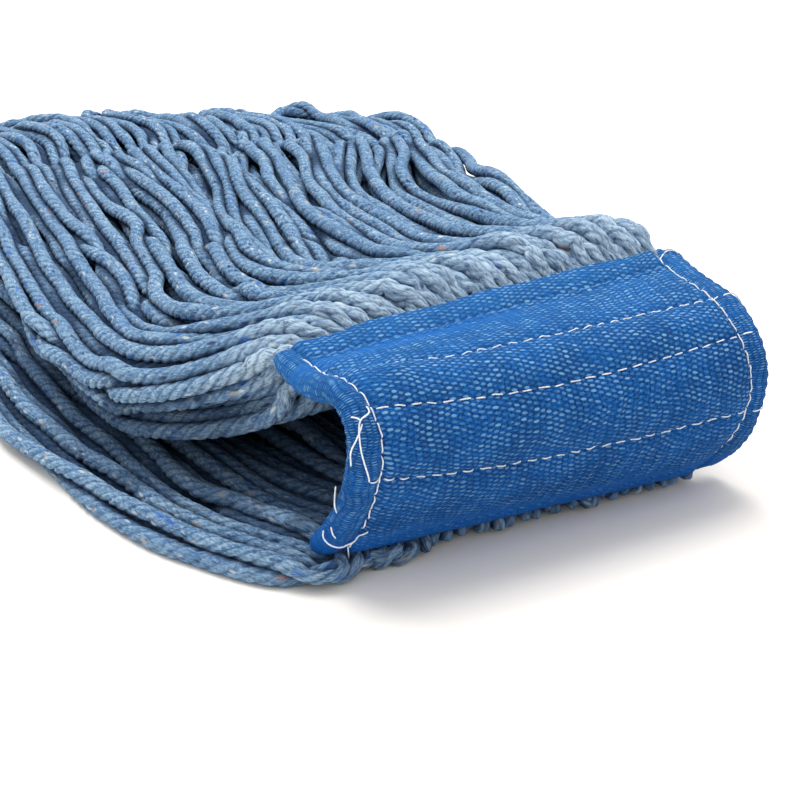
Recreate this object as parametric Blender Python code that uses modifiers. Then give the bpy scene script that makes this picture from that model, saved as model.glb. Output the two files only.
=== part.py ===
"""Loop-end wet mop head: a hank of twisted yarn sewn across a wide mesh headband and folded in half with it.

Metres, +Z up, origin on the floor under the middle. X runs along the headband, the fold's back faces -Y, the yarn runs to +Y and the lower yarn lies on the
floor at z = 0. The headband is a sandwich (outer mesh, yarn, inner mesh) bent into a U, whose slot takes the clamp bar
of a mop handle. Its cross-section differs a little from the near end (x = 0) to the far end, so the panels are ruled
between the two.

The yarn below the headband is the fixed body. The lower leg of the headband tips on it, the upper leg opens from the
lower leg at the back of the fold, and the upper yarn lifts from the upper leg's edge. Each of those three has an empty
on its axis.
"""

import math

import bmesh
import bpy
import numpy as np
from mathutils import Vector

# ---------------------------------------------------------------- sizes
BAND_LENGTH = 0.173  # headband, end to end
BAND_WIDTH = 0.127  # headband, edge to edge when laid flat (a 5 inch band)
MESH_THICK = 0.0012  # one layer of the mesh fabric
CORE_THICK = 0.0060  # yarn sewn in between the two layers
GAP = 0.0003  # air left between pieces that touch
SANDWICH = 2 * MESH_THICK + CORE_THICK + 2 * GAP  # 9 mm through the headband
ROLL_RADIUS = 0.0043  # rolled hem round each end of the headband
END_SEAM = 0.0100  # curved seam, from the end of the headband
PANEL_END = 2 * ROLL_RADIUS + GAP  # where the flat panels begin, behind the rolled hem
EDGE_HEM_WIDTH = 0.0110  # turned hem along each long edge
EDGE_HEM_THICK = 0.0009
THREAD_RADIUS = 0.0004

FOLD_AT = 0.0675  # the back of the fold, from the upper edge along the fabric
ROW_1, ROW_2, ROW_3, ROW_4, ROW_5 = 0.0095, 0.0382, 0.0529, 0.0808, 0.1178  # stitch rows, from the upper edge

TAIL_Y = 0.520  # looped ends of the yarn
TAIL_BAND_Y = 0.365  # sewn tail band, where the yarn is pinched
BUNDLES = 8  # bundles of strands across each half of the yarn

# Below, x is measured from the headband's near end and y from its lower edge; the object's origin is under its middle.
ORIGIN = Vector((-0.14114, -0.26733, 0.0))

# ---------------------------------------------------------------- headband cross-section
# heading of the fabric, in degrees in the YZ plane, at five places from the upper edge to the lower edge
HEADING_AT = (0.0, 0.030, 0.054, 0.074, 0.127)
NEAR_HEADING = (204.0, 159.0, 236.0, 287.0, 322.0)
FAR_HEADING = (202.0, 189.0, 228.0, 272.0, 330.0)
NEAR_START = (0.0234, 0.0774)  # y, z of the upper edge's outer corner
FAR_START = (0.0190, 0.0850)
UPPER_FACETS = 8
LOWER_FACETS = 7


def edge_line(start, headings):
    """The outer face of the fabric at one end, as knots of (t, y, z) and their inward mitre directions."""
    fine = np.linspace(0.0, BAND_WIDTH, 509)
    turn = np.radians(np.interp(fine, HEADING_AT, headings))
    step = np.diff(fine)
    mid = (turn[1:] + turn[:-1]) / 2
    y = start[0] + np.concatenate([[0.0], np.cumsum(np.cos(mid) * step)])
    z = start[1] + np.concatenate([[0.0], np.cumsum(np.sin(mid) * step)])
    half = GAP
    knots = np.concatenate(
        [
            np.linspace(0.0, FOLD_AT - half, UPPER_FACETS + 1),
            np.linspace(FOLD_AT + half, BAND_WIDTH, LOWER_FACETS + 1),
        ]
    )
    line = np.column_stack([np.interp(knots, fine, y), np.interp(knots, fine, z)])
    facet = np.diff(line, axis=0)
    facet /= np.linalg.norm(facet, axis=1)[:, None]
    inward = np.column_stack([-facet[:, 1], facet[:, 0]])
    mitre = np.vstack([inward[:1], inward[:-1] + inward[1:], inward[-1:]])
    mitre /= np.linalg.norm(mitre, axis=1)[:, None]
    reach = np.concatenate([[1.0], 1.0 / np.sum(mitre[1:-1] * inward[1:], axis=1), [1.0]])
    return knots, line, mitre * reach[:, None]


NEAR = edge_line(NEAR_START, NEAR_HEADING)
FAR = edge_line(FAR_START, FAR_HEADING)


def on_band(t, x, depth=0.0):
    """The point t along the fabric from the upper edge, x along the headband and depth below its outer face."""
    w = x / BAND_LENGTH
    point = np.zeros(2)
    for share, (knots, line, mitre) in ((1.0 - w, NEAR), (w, FAR)):
        moved = line + mitre * depth
        point += share * np.array([np.interp(t, knots, moved[:, 0]), np.interp(t, knots, moved[:, 1])])
    return Vector((x, float(point[0]), float(point[1])))


# ---------------------------------------------------------------- scene and helpers
for old in list(bpy.data.objects):
    bpy.data.objects.remove(old, do_unlink=True)

collection = bpy.data.collections.new("string_mop")
bpy.context.scene.collection.children.link(collection)


def material(name, colour, roughness):
    mat = bpy.data.materials.new(name)
    mat.use_nodes = True
    shader = mat.node_tree.nodes["Principled BSDF"]
    shader.inputs["Base Color"].default_value = (*colour, 1.0)
    shader.inputs["Roughness"].default_value = roughness
    shader.inputs["Metallic"].default_value = 0.0
    mat.diffuse_color = (*colour, 1.0)
    return mat


MESH_BLUE = material("mesh_blue", (0.010, 0.075, 0.360), 0.72)
MESH_INSIDE = material("mesh_inside", (0.008, 0.055, 0.270), 0.78)
YARN_BLUE = material("yarn_blue", (0.160, 0.300, 0.480), 0.90)
YARN_SEWN = material("yarn_sewn", (0.130, 0.260, 0.430), 0.90)
THREAD_WHITE = material("thread_white", (0.780, 0.800, 0.820), 0.65)


def pivot(name, a, b, parent=None):
    """An empty on a joint's axis, half way from a to b, with its X axis along it."""
    empty = bpy.data.objects.new(name, None)
    empty.empty_display_type = "ARROWS"
    empty.empty_display_size = 0.02
    collection.objects.link(empty)
    empty.rotation_mode = "QUATERNION"
    empty.rotation_quaternion = (Vector(b) - Vector(a)).to_track_quat("X", "Z")
    empty.location = (Vector(a) + Vector(b)) / 2 + ORIGIN
    bpy.context.view_layer.update()
    if parent is not None:
        empty.parent = parent
        empty.matrix_parent_inverse = parent.matrix_world.inverted()
    return empty


def place(ob, mat, parent):
    """Links the object with a material of its own, at the shared origin and on its parent."""
    own = mat.copy()
    own.name = f"{ob.name}_{mat.name}"
    ob.data.materials.append(own)
    ob.location += ORIGIN
    collection.objects.link(ob)
    bpy.context.view_layer.update()
    if parent is not None:
        ob.parent = parent
        ob.matrix_parent_inverse = parent.matrix_world.inverted()
    return ob


def mesh_object(name, bm, mat, parent):
    """A mesh object whose origin is in the middle of its points."""
    bmesh.ops.recalc_face_normals(bm, faces=bm.faces)
    low = Vector([min(v.co[i] for v in bm.verts) for i in range(3)])
    high = Vector([max(v.co[i] for v in bm.verts) for i in range(3)])
    centre = (low + high) / 2
    bmesh.ops.translate(bm, verts=bm.verts, vec=-centre)
    mesh = bpy.data.meshes.new(name)
    bm.to_mesh(mesh)
    bm.free()
    ob = bpy.data.objects.new(name, mesh)
    ob.location = centre
    mesh.shade_smooth()
    mesh.set_sharp_from_angle(angle=math.radians(35))
    return place(ob, mat, parent)


def panel(name, t0, t1, x0, x1, depth, thick, mat, parent, facets_x=4, soften=0.0):
    """A layer of the headband: an open surface on the layer's outer face, made solid inwards."""
    knots = [t for t in NEAR[0] if t0 + 0.001 < t < t1 - 0.001]
    ts = [t0, *knots, t1]
    bm = bmesh.new()
    bmesh.ops.create_grid(bm, x_segments=facets_x, y_segments=len(ts) - 1, size=0.5)
    for v in bm.verts:
        i = int(round((v.co.y + 0.5) * (len(ts) - 1)))
        v.co = on_band(ts[i], x0 + (v.co.x + 0.5) * (x1 - x0), depth)
    bm.normal_update()
    middle = on_band((t0 + t1) / 2, (x0 + x1) / 2, depth)
    out = middle - on_band((t0 + t1) / 2, (x0 + x1) / 2, depth + 0.001)
    face = min(bm.faces, key=lambda f: (f.calc_center_median() - middle).length)
    if face.normal.dot(out) < 0:
        bmesh.ops.reverse_faces(bm, faces=bm.faces)
    low = Vector([min(v.co[i] for v in bm.verts) for i in range(3)])
    high = Vector([max(v.co[i] for v in bm.verts) for i in range(3)])
    centre = (low + high) / 2
    bmesh.ops.translate(bm, verts=bm.verts, vec=-centre)
    mesh = bpy.data.meshes.new(name)
    bm.to_mesh(mesh)
    bm.free()
    ob = bpy.data.objects.new(name, mesh)
    ob.location = centre
    place(ob, mat, parent)
    solid = ob.modifiers.new("thickness", "SOLIDIFY")
    solid.thickness = thick
    solid.offset = -1.0
    solid.use_even_offset = True
    if soften:
        soft = ob.modifiers.new("soft_edges", "BEVEL")
        soft.width = soften
        soft.segments = 1
        soft.limit_method = "ANGLE"
        soft.angle_limit = math.radians(60)
    mesh.shade_smooth()
    mesh.set_sharp_from_angle(angle=math.radians(35))
    return ob


def tube(name, points, radius, mat, parent, resolution=2, closed=False):
    """A thread, cord or roll: a curve with a round bevel and filled caps."""
    centre = sum((Vector(p) for p in points), Vector()) / len(points)
    curve = bpy.data.curves.new(name, "CURVE")
    curve.dimensions = "3D"
    spline = curve.splines.new("POLY")
    spline.points.add(len(points) - 1)
    for target, p in zip(spline.points, points, strict=True):
        target.co = (*(Vector(p) - centre), 1.0)
    spline.use_cyclic_u = closed
    curve.bevel_depth = radius
    curve.bevel_resolution = resolution
    curve.use_fill_caps = not closed
    ob = bpy.data.objects.new(name, curve)
    ob.location = centre
    return place(ob, mat, parent)


def loft(name, rings, mat, parent):
    """A bundle of yarn: a loft through sections that change in width, height and tilt along it."""
    bm = bmesh.new()
    loops = [[bm.verts.new(p) for p in ring] for ring in rings]
    for a, b in zip(loops[:-1], loops[1:], strict=True):
        for i in range(len(a)):
            j = (i + 1) % len(a)
            bm.faces.new((a[i], a[j], b[j], b[i]))
    bm.faces.new(loops[0])
    bm.faces.new(loops[-1][::-1])
    return mesh_object(name, bm, mat, parent)


# ---------------------------------------------------------------- joint axes
lower_edge = (on_band(BAND_WIDTH, 0.0), on_band(BAND_WIDTH, BAND_LENGTH))
fold_back = (on_band(FOLD_AT, 0.0), on_band(FOLD_AT, BAND_LENGTH))
upper_edge = (on_band(0.0, 0.0), on_band(0.0, BAND_LENGTH))
lower_leg = pivot("lower_edge_axis", *lower_edge)
upper_leg = pivot("headband_fold_axis", *fold_back, parent=lower_leg)
upper_yarn = pivot("upper_edge_axis", *upper_edge, parent=upper_leg)

# ---------------------------------------------------------------- headband
x_a, x_b = PANEL_END, BAND_LENGTH - PANEL_END
core_depth = MESH_THICK + GAP
inner_depth = core_depth + CORE_THICK + GAP
legs = (
    ("upper", upper_leg, 0.0, FOLD_AT - GAP, FOLD_AT - 0.0028, FOLD_AT - 0.0032),
    ("lower", lower_leg, FOLD_AT + GAP, BAND_WIDTH, FOLD_AT + 0.0028, FOLD_AT + 0.0032),
)
for leg, parent, t0, t1, core_t, inner_t in legs:
    upper = leg == "upper"
    panel(f"outer_band_{leg}", t0, t1, x_a, x_b, 0.0, MESH_THICK, MESH_BLUE, parent)
    panel(
        f"core_yarn_{leg}",
        t0 if upper else core_t,
        core_t if upper else t1,
        x_a,
        x_b,
        core_depth,
        CORE_THICK,
        YARN_SEWN,
        parent,
    )
    panel(
        f"inner_band_{leg}",
        t0 if upper else inner_t,
        inner_t if upper else t1,
        x_a,
        x_b,
        inner_depth,
        MESH_THICK,
        MESH_INSIDE,
        parent,
    )
    # rolled hem round each end
    roll = [t for t in NEAR[0] if t0 - 1e-6 <= t <= t1 + 1e-6]
    roll = [*roll[:-1], roll[-1] - 0.0012] if upper else [roll[0] + 0.0012, *roll[1:]]
    for end, x in (("near", ROLL_RADIUS), ("far", BAND_LENGTH - ROLL_RADIUS)):
        tube(
            f"{end}_end_hem_{leg}",
            [on_band(t, x, SANDWICH / 2) for t in roll],
            ROLL_RADIUS,
            MESH_BLUE,
            parent,
            resolution=3,
        )
    # turned hem along the long edge, on the outer face
    e0, e1 = (0.0, EDGE_HEM_WIDTH) if upper else (BAND_WIDTH - EDGE_HEM_WIDTH, BAND_WIDTH)
    panel(
        f"{leg}_edge_hem",
        e0,
        e1,
        x_a + 0.0025,
        x_b - 0.0025,
        -(EDGE_HEM_THICK + GAP),
        EDGE_HEM_THICK,
        MESH_BLUE,
        parent,
    )

# ---------------------------------------------------------------- seams
over_band = -(GAP + THREAD_RADIUS)
over_hem = over_band - EDGE_HEM_THICK - GAP
rows = (
    ("stitch_row_1", ROW_1, over_hem, upper_leg),
    ("stitch_row_2", ROW_2, over_band, upper_leg),
    ("stitch_row_3", ROW_3, over_band, upper_leg),
    ("stitch_row_4", ROW_4, over_band, lower_leg),
    ("stitch_row_5", ROW_5, over_hem, lower_leg),
)
for name, t, depth, parent in rows:
    a, b = END_SEAM + 0.0026, BAND_LENGTH - END_SEAM - 0.0026
    tube(name, [on_band(t, a + (b - a) * i / 4, depth) for i in range(5)], THREAD_RADIUS, THREAD_WHITE, parent)

for leg, parent, t0, t1, _, _ in legs:
    upper = leg == "upper"
    inside = [t for t in NEAR[0] if t0 + 0.004 < t < t1 - 0.004]
    run = [t0 + 0.004, *inside, t1 - 0.0015] if upper else [t0 + 0.0015, *inside, t1 - 0.004]
    for end, x in (("near", END_SEAM), ("far", BAND_LENGTH - END_SEAM)):
        tube(f"{end}_end_stitch_{leg}", [on_band(t, x, over_band) for t in run], THREAD_RADIUS, THREAD_WHITE, parent)

# loose ends of the sewing thread, lying over the near end's rolled hem
over_roll = -(GAP + 2 * THREAD_RADIUS)
tube(
    "loose_thread_upper",
    [on_band(0.0535, 0.0085, over_roll), on_band(0.0560, 0.0060, over_roll), on_band(0.0640, 0.0052, over_roll)],
    THREAD_RADIUS,
    THREAD_WHITE,
    upper_leg,
)
tube(
    "loose_thread_lower",
    [on_band(0.0700, 0.0050, over_roll), on_band(0.0750, 0.0062, over_roll), on_band(0.0790, 0.0085, over_roll)],
    THREAD_RADIUS,
    THREAD_WHITE,
    lower_leg,
)
tube(
    "loose_thread_corner",
    [on_band(0.1130, 0.0080, over_roll), on_band(0.1190, 0.0070, over_roll), on_band(0.1260, 0.0066, over_roll)],
    THREAD_RADIUS,
    THREAD_WHITE,
    lower_leg,
)


# ---------------------------------------------------------------- yarn
def smooth(v):
    v = min(max(v, 0.0), 1.0)
    return v * v * (3.0 - 2.0 * v)


def upper_x(u, y):
    """Plan of the upper yarn: it leaves the edge sideways towards the near end, then turns and fans out to the tail."""
    sweep = 0.037 - 0.025 * u**4
    spread = (0.036 + 0.275 * u) - (u * BAND_LENGTH - sweep)
    fan = max(0.0, min(y, 0.430) - 0.075) / 0.355 + 0.35 * max(0.0, y - 0.430) / 0.355
    return u * BAND_LENGTH - sweep * smooth((y - 0.022) / 0.050) + spread * fan


def lower_x(u, y):
    """Plan of the lower yarn, which fans out to both sides."""
    near = -0.043 * (1.0 - math.exp(-max(0.0, y + 0.005) / 0.050)) + 0.013 * max(0.0, y - 0.185) / 0.245
    far = BAND_LENGTH + 0.127 * (max(0.0, y) / 0.430) ** 0.85
    return near + u * (far - near)


def skewed(x, y):
    """The tail isn't square: towards the near side the yarn reaches further, and its tail band lies further out."""
    return y + 0.055 * math.tanh((0.180 - x) / 0.110) * smooth((y - 0.200) / 0.165)


def at(y, ys, values):
    return float(np.interp(y, ys, values))


def upper_share(u, y):
    """How much of its full height the upper pile has: less at its two sides, once it has left the headband."""
    side = at(u, UPPER_SIDE_U, UPPER_SIDE_SHARE)
    return side + (1.0 - side) * (1.0 - smooth((y - 0.036) / 0.030))


LOWER_TOP_Y = (0.020, 0.045, 0.070, 0.120, 0.250, 0.350, 0.365, 0.380, 0.430, 0.520)
LOWER_TOP_Z = (0.0125, 0.0165, 0.0190, 0.0200, 0.0190, 0.0175, 0.0135, 0.0175, 0.0160, 0.0110)
UPPER_TOP_Y = (0.036, 0.050, 0.064, 0.090, 0.150, 0.220, 0.300, 0.345, 0.365, 0.385, 0.430, 0.480, 0.520)
UPPER_TOP_Z = (0.0840, 0.0830, 0.0800, 0.0750, 0.0680, 0.0640, 0.0600, 0.0560, 0.0460, 0.0520, 0.0470, 0.0370, 0.0250)
UPPER_SIDE_U = (0.0, 0.125, 0.25, 0.50, 0.875, 1.0)  # the pile is lower at its two sides
UPPER_SIDE_SHARE = (0.62, 0.84, 0.93, 1.0, 0.98, 0.88)
UPPER_LOW_Y = (0.036, 0.050, 0.064, 0.085, 0.105)
UPPER_LOW_Z = (0.0640, 0.0560, 0.0440, 0.0290, 0.0215)
FLOOR_GAP = 0.0026  # the tail band passes under the lower yarn here
TAIL_BAND_ROOM = 0.0052  # and its two rows pass between the lower and the upper yarn
SIDE_GAP = 0.0006  # between neighbouring bundles, each side

SECTION = (  # a bundle's section: across and up, each from -1 to 1, flat below and domed above
    (-0.80, -1.00),
    (0.80, -1.00),
    (1.00, -0.45),
    (1.00, 0.30),
    (0.66, 0.86),
    (0.00, 1.00),
    (-0.66, 0.86),
    (-1.00, 0.30),
    (-1.00, -0.45),
)


def section(a, b):
    """One section, from its side a to its side b. Each side is its x and its lowest and highest points (y, z)."""
    inset = SIDE_GAP / (b[0] - a[0])
    ring = []
    for across, up in SECTION:
        w = inset + (1.0 - 2.0 * inset) * (across + 1.0) / 2.0
        v = (up + 1.0) / 2.0
        side = [(1.0 - w) * p + w * q for p, q in zip(np.ravel(a[1:]), np.ravel(b[1:]), strict=True)]
        ring.append(
            Vector(((1.0 - w) * a[0] + w * b[0], (1.0 - v) * side[0] + v * side[2], (1.0 - v) * side[1] + v * side[3]))
        )
    return ring


def leaving(t, u, reach, turned):
    """The two sides of the sewn yarn's end face at t, moved out from the headband by reach. turned is 1 at the lower edge."""
    x = u * BAND_LENGTH
    outer, inner = on_band(t, x, 0.0012), on_band(t, x, 0.0078)
    along = Vector((0.0, -(outer - inner).z, (outer - inner).y)).normalized()
    along = along if along.y > 0 else -along
    low, high = (outer, inner) if turned else (inner, outer)
    low, high = low + along * reach, high + along * reach
    return (x, (low.y, max(low.z, 0.0012)), (high.y, high.z))


for i in range(BUNDLES):
    ends = (i / BUNDLES, (i + 1) / BUNDLES)
    share = 0.80 if i in (0, BUNDLES - 1) else 1.0  # the lower pile is lower at its two sides

    # lower bundle: out of the lower edge, down to the floor and back under the headband to the tail
    rings = [section(*(leaving(BAND_WIDTH, u, reach, True) for u in ends)) for reach in (0.0008, 0.0045)]
    sides = []
    for u in ends:
        start = leaving(BAND_WIDTH, u, 0.0045, True)
        sides.append((lower_x(u, 0.006), (start[1][0] + 0.0040, 0.0), (start[2][0] + 0.0050, 0.0118)))
    rings.append(section(*sides))
    for y in (0.022, 0.045, 0.070, 0.120, 0.185, 0.250, 0.350, TAIL_BAND_Y, 0.380, 0.450, TAIL_Y):
        top = at(y, LOWER_TOP_Y, LOWER_TOP_Z)
        low = FLOOR_GAP if y == TAIL_BAND_Y else 0.0
        sides = []
        for u in ends:
            x = lower_x(u, y)
            sides.append((x, (skewed(x, y), low), (skewed(x, y), low + (top - low) * share)))
        rings.append(section(*sides))
    loft(f"lower_yarn_{i + 1}", rings, YARN_BLUE, None)

    # upper bundle: out of the upper edge, over and sideways, then down on to the lower yarn and back to the tail
    rings = [section(*(leaving(0.0, u, reach, False) for u in ends)) for reach in (0.0008, 0.0050)]
    for y in (0.036, 0.050, 0.064, 0.085, 0.105, 0.150, 0.200, 0.260, 0.345, TAIL_BAND_Y, 0.385, 0.430, 0.480, TAIL_Y):
        top = at(y, UPPER_TOP_Y, UPPER_TOP_Z)
        low = at(y, UPPER_LOW_Y, UPPER_LOW_Z) if y < 0.105 else at(y, LOWER_TOP_Y, LOWER_TOP_Z) + 0.0012
        if y == TAIL_BAND_Y:
            low += TAIL_BAND_ROOM
        lift = 0.004 if y < 0.1 else 0.0
        sides = []
        for u in ends:
            x = upper_x(u, y)
            high = low + lift * u + (top - low) * upper_share(u, y)
            sides.append((x, (skewed(x, y), low + lift * u), (skewed(x, y), high)))
        rings.append(section(*sides))
    loft(f"upper_yarn_{i + 1}", rings, YARN_BLUE, upper_yarn)

# ---------------------------------------------------------------- tail bands
CORD_RADIUS = 0.0011
y = TAIL_BAND_Y
for name, plan, low, high, parent in (
    ("lower_tail_band", lower_x, FLOOR_GAP, at(y, LOWER_TOP_Y, LOWER_TOP_Z), None),
    (
        "upper_tail_band",
        upper_x,
        at(y, LOWER_TOP_Y, LOWER_TOP_Z) + 0.0012 + TAIL_BAND_ROOM,
        at(y, UPPER_TOP_Y, UPPER_TOP_Z),
        upper_yarn,
    ),
):
    off = CORD_RADIUS + GAP
    xa, xb = plan(0.0, y), plan(1.0, y)
    zb, zt = low - off, high + off
    corner = 0.004
    path = []
    for cx, cz, start in (
        (xb + off - corner, zt - corner, 90),
        (xb + off - corner, zb + corner, 0),
        (xa - off + corner, zb + corner, -90),
        (xa - off + corner, zt - corner, -180),
    ):
        for k in range(4):
            angle = math.radians(start - 30 * k)
            x = cx + corner * math.cos(angle)
            path.append((x, skewed(x, y), cz + corner * math.sin(angle)))
        if start in (0, -180):  # then the long run, under or over the yarn
            a, b = (xb - corner, xa + corner) if start == 0 else (xa + corner, xb - corner)
            level = zb if start == 0 else zt
            for k in range(1, 10):
                x = a + (b - a) * k / 10
                path.append((x, skewed(x, y), level))
    tube(name, path, CORD_RADIUS, THREAD_WHITE, parent, closed=True)
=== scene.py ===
"""Loop-end wet mop head: its looks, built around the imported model.

Lengths are metres. "Band coordinates" put x along the headband from its near end and y from its lower edge; ORIGIN
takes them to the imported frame. t runs along the fabric from the upper edge, and depth goes inwards from its outer face.
"""
import math

import bmesh
import bpy
import numpy as np
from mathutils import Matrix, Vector


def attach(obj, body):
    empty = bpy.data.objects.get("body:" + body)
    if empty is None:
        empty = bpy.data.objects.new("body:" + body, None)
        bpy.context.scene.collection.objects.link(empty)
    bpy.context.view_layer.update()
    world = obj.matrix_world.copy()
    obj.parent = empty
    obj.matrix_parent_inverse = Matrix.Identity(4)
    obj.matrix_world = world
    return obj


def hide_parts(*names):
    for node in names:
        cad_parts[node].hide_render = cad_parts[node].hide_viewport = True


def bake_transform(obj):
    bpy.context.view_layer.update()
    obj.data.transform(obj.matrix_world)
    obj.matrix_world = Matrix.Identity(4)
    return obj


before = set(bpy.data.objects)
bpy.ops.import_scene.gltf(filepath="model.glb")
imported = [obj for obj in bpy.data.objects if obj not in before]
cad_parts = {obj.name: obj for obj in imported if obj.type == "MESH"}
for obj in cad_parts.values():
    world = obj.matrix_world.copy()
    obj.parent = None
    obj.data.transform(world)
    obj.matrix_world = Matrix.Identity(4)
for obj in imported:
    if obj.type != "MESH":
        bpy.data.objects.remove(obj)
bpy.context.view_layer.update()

RNG = np.random.default_rng(643)
ORIGIN = np.array((-0.14114, -0.26733, 0.0))

# ---------------------------------------------------------------- sizes repeated from the part
L = 0.173
W = 0.127
SANDWICH = 0.0090
FOLD_AT = 0.0675
ROWS = (0.0095, 0.0382, 0.0529, 0.0808, 0.1178)
END_SEAM = 0.0100
TAIL_BAND_Y = 0.365
HEADING_AT = (0.0, 0.030, 0.054, 0.074, 0.127)
NEAR_HEADING = (204.0, 159.0, 236.0, 287.0, 322.0)
FAR_HEADING = (202.0, 189.0, 228.0, 272.0, 330.0)
NEAR_START = (0.0234, 0.0774)
FAR_START = (0.0190, 0.0850)
LOWER_TOP_Y = (0.020, 0.045, 0.070, 0.120, 0.250, 0.350, 0.365, 0.380, 0.430, 0.520)
LOWER_TOP_Z = (0.0125, 0.0165, 0.0190, 0.0200, 0.0190, 0.0175, 0.0135, 0.0175, 0.0160, 0.0110)
# the upper pile's top: rows over y, columns over u from the near side to the far side
TOP_U = (0.0, 0.05, 0.12, 0.30, 0.45, 0.60, 0.80, 1.0)
TOP_Y = (0.030, 0.050, 0.070, 0.090, 0.150, 0.220, 0.300, 0.345, 0.365, 0.385, 0.430, 0.480, 0.520)
TOP_Z = np.array((
    (0.080, 0.083, 0.085, 0.088, 0.090, 0.092, 0.094, 0.095),
    (0.055, 0.071, 0.080, 0.086, 0.089, 0.091, 0.093, 0.093),
    (0.040, 0.056, 0.067, 0.079, 0.083, 0.086, 0.088, 0.088),
    (0.038, 0.052, 0.061, 0.073, 0.077, 0.080, 0.083, 0.082),
    (0.042, 0.050, 0.057, 0.066, 0.069, 0.072, 0.074, 0.073),
    (0.045, 0.050, 0.055, 0.061, 0.064, 0.066, 0.066, 0.065),
    (0.045, 0.048, 0.053, 0.059, 0.061, 0.062, 0.061, 0.060),
    (0.044, 0.048, 0.052, 0.056, 0.058, 0.059, 0.058, 0.056),
    (0.040, 0.043, 0.046, 0.049, 0.050, 0.050, 0.049, 0.047),
    (0.042, 0.046, 0.050, 0.053, 0.055, 0.055, 0.053, 0.050),
    (0.040, 0.044, 0.047, 0.050, 0.051, 0.051, 0.049, 0.045),
    (0.033, 0.036, 0.038, 0.040, 0.041, 0.041, 0.039, 0.035),
    (0.022, 0.024, 0.026, 0.028, 0.029, 0.029, 0.028, 0.022),
))
UPPER_LOW_Y = (0.036, 0.050, 0.064, 0.085, 0.105)
UPPER_LOW_Z = (0.0640, 0.0560, 0.0440, 0.0290, 0.0215)

FINE = np.linspace(0.0, W, 1017)


def edge_line(start, headings):
    turn = np.radians(np.interp(FINE, HEADING_AT, headings))
    for _ in range(60):  # ease the corners between the five headings
        turn[1:-1] = (turn[:-2] + 2 * turn[1:-1] + turn[2:]) / 4
    mid = (turn[1:] + turn[:-1]) / 2
    step = np.diff(FINE)
    y = start[0] + np.concatenate([[0.0], np.cumsum(np.cos(mid) * step)])
    z = start[1] + np.concatenate([[0.0], np.cumsum(np.sin(mid) * step)])
    return y, z, -np.sin(turn), np.cos(turn)


NEAR = edge_line(NEAR_START, NEAR_HEADING)
FAR = edge_line(FAR_START, FAR_HEADING)


def on_band(t, x, depth=0.0):
    """Points in band coordinates; t, x and depth may be arrays of one shape."""
    t, x, depth = np.broadcast_arrays(np.asarray(t, float), np.asarray(x, float), np.asarray(depth, float))
    w = np.clip(x / L, 0.0, 1.0)
    out = []
    for k in range(2):
        near = np.interp(t, FINE, NEAR[k]) + depth * np.interp(t, FINE, NEAR[k + 2])
        far = np.interp(t, FINE, FAR[k]) + depth * np.interp(t, FINE, FAR[k + 2])
        out.append((1 - w) * near + w * far)
    return np.stack([x, out[0], out[1]], axis=-1)


def smooth01(v):
    v = np.clip(v, 0.0, 1.0)
    return v * v * (3.0 - 2.0 * v)


def upper_x(u, y):
    sweep = 0.037 - 0.025 * u**4
    spread = (0.036 + 0.266 * u) - (u * L - sweep)
    fan = 0.817 * (np.clip(y - 0.050, 0.0, 0.315) / 0.315) ** 1.45 + 0.40 * np.maximum(0.0, y - 0.365) / 0.355
    full = 0.016 * u**3 * smooth01((y - 0.070) / 0.050) * (1 - smooth01((y - 0.270) / 0.110))
    return u * L - sweep * smooth01((y - 0.022) / 0.050) + spread * fan + full


def lower_x(u, y):
    near = -0.0425 * (1.0 - np.exp(-np.maximum(0.0, y + 0.0118) / 0.040)) + 0.013 * np.maximum(0.0, y - 0.185) / 0.245
    far = L + 0.127 * (np.maximum(0.0, y) / 0.430) ** 0.85
    return near + u * (far - near)


def skewed(x, y):
    """The tail isn't square: towards the near side the yarn reaches further."""
    return y + 0.055 * np.tanh((0.180 - x) / 0.110) * smooth01((y - 0.200) / 0.165)


def to_world(points):
    return np.asarray(points, float) + ORIGIN


# ---------------------------------------------------------------- camera
cam_data = bpy.data.cameras.new("camera")
camera = bpy.data.objects.new("camera", cam_data)
bpy.context.scene.collection.objects.link(camera)
azimuth, elevation, distance = math.radians(-32.48), math.radians(23.28), 0.6559
target = Vector((0.0717, 0.0564, 0.030)) + Vector(ORIGIN)
back = Vector(
    (math.sin(azimuth) * math.cos(elevation), -math.cos(azimuth) * math.cos(elevation), math.sin(elevation))
)
camera.location = target + back * distance
camera.rotation_euler = back.to_track_quat("Z", "Y").to_euler()
cam_data.sensor_width = 36.0
cam_data.lens = 77.4
cam_data.clip_start, cam_data.clip_end = 0.01, 50.0
bpy.context.scene.camera = camera

# ---------------------------------------------------------------- yarn: the strands' rest shape
R = 0.00325  # a strand's radius
STEP = 0.0035  # between the solver's points along a strand
UPPER_LOOPS, LOWER_LOOPS = 62, 44


def waves(y, amount, shortest, longest, terms, rng):
    """A smooth random function of y."""
    out = np.zeros_like(y)
    for _ in range(terms):
        wave = rng.uniform(shortest, longest)
        size = amount * (wave / longest) ** 1.3 * rng.uniform(0.5, 1.0)
        out += size * np.sin(2 * math.pi * y / wave + rng.uniform(0, 2 * math.pi))
    return out


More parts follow.
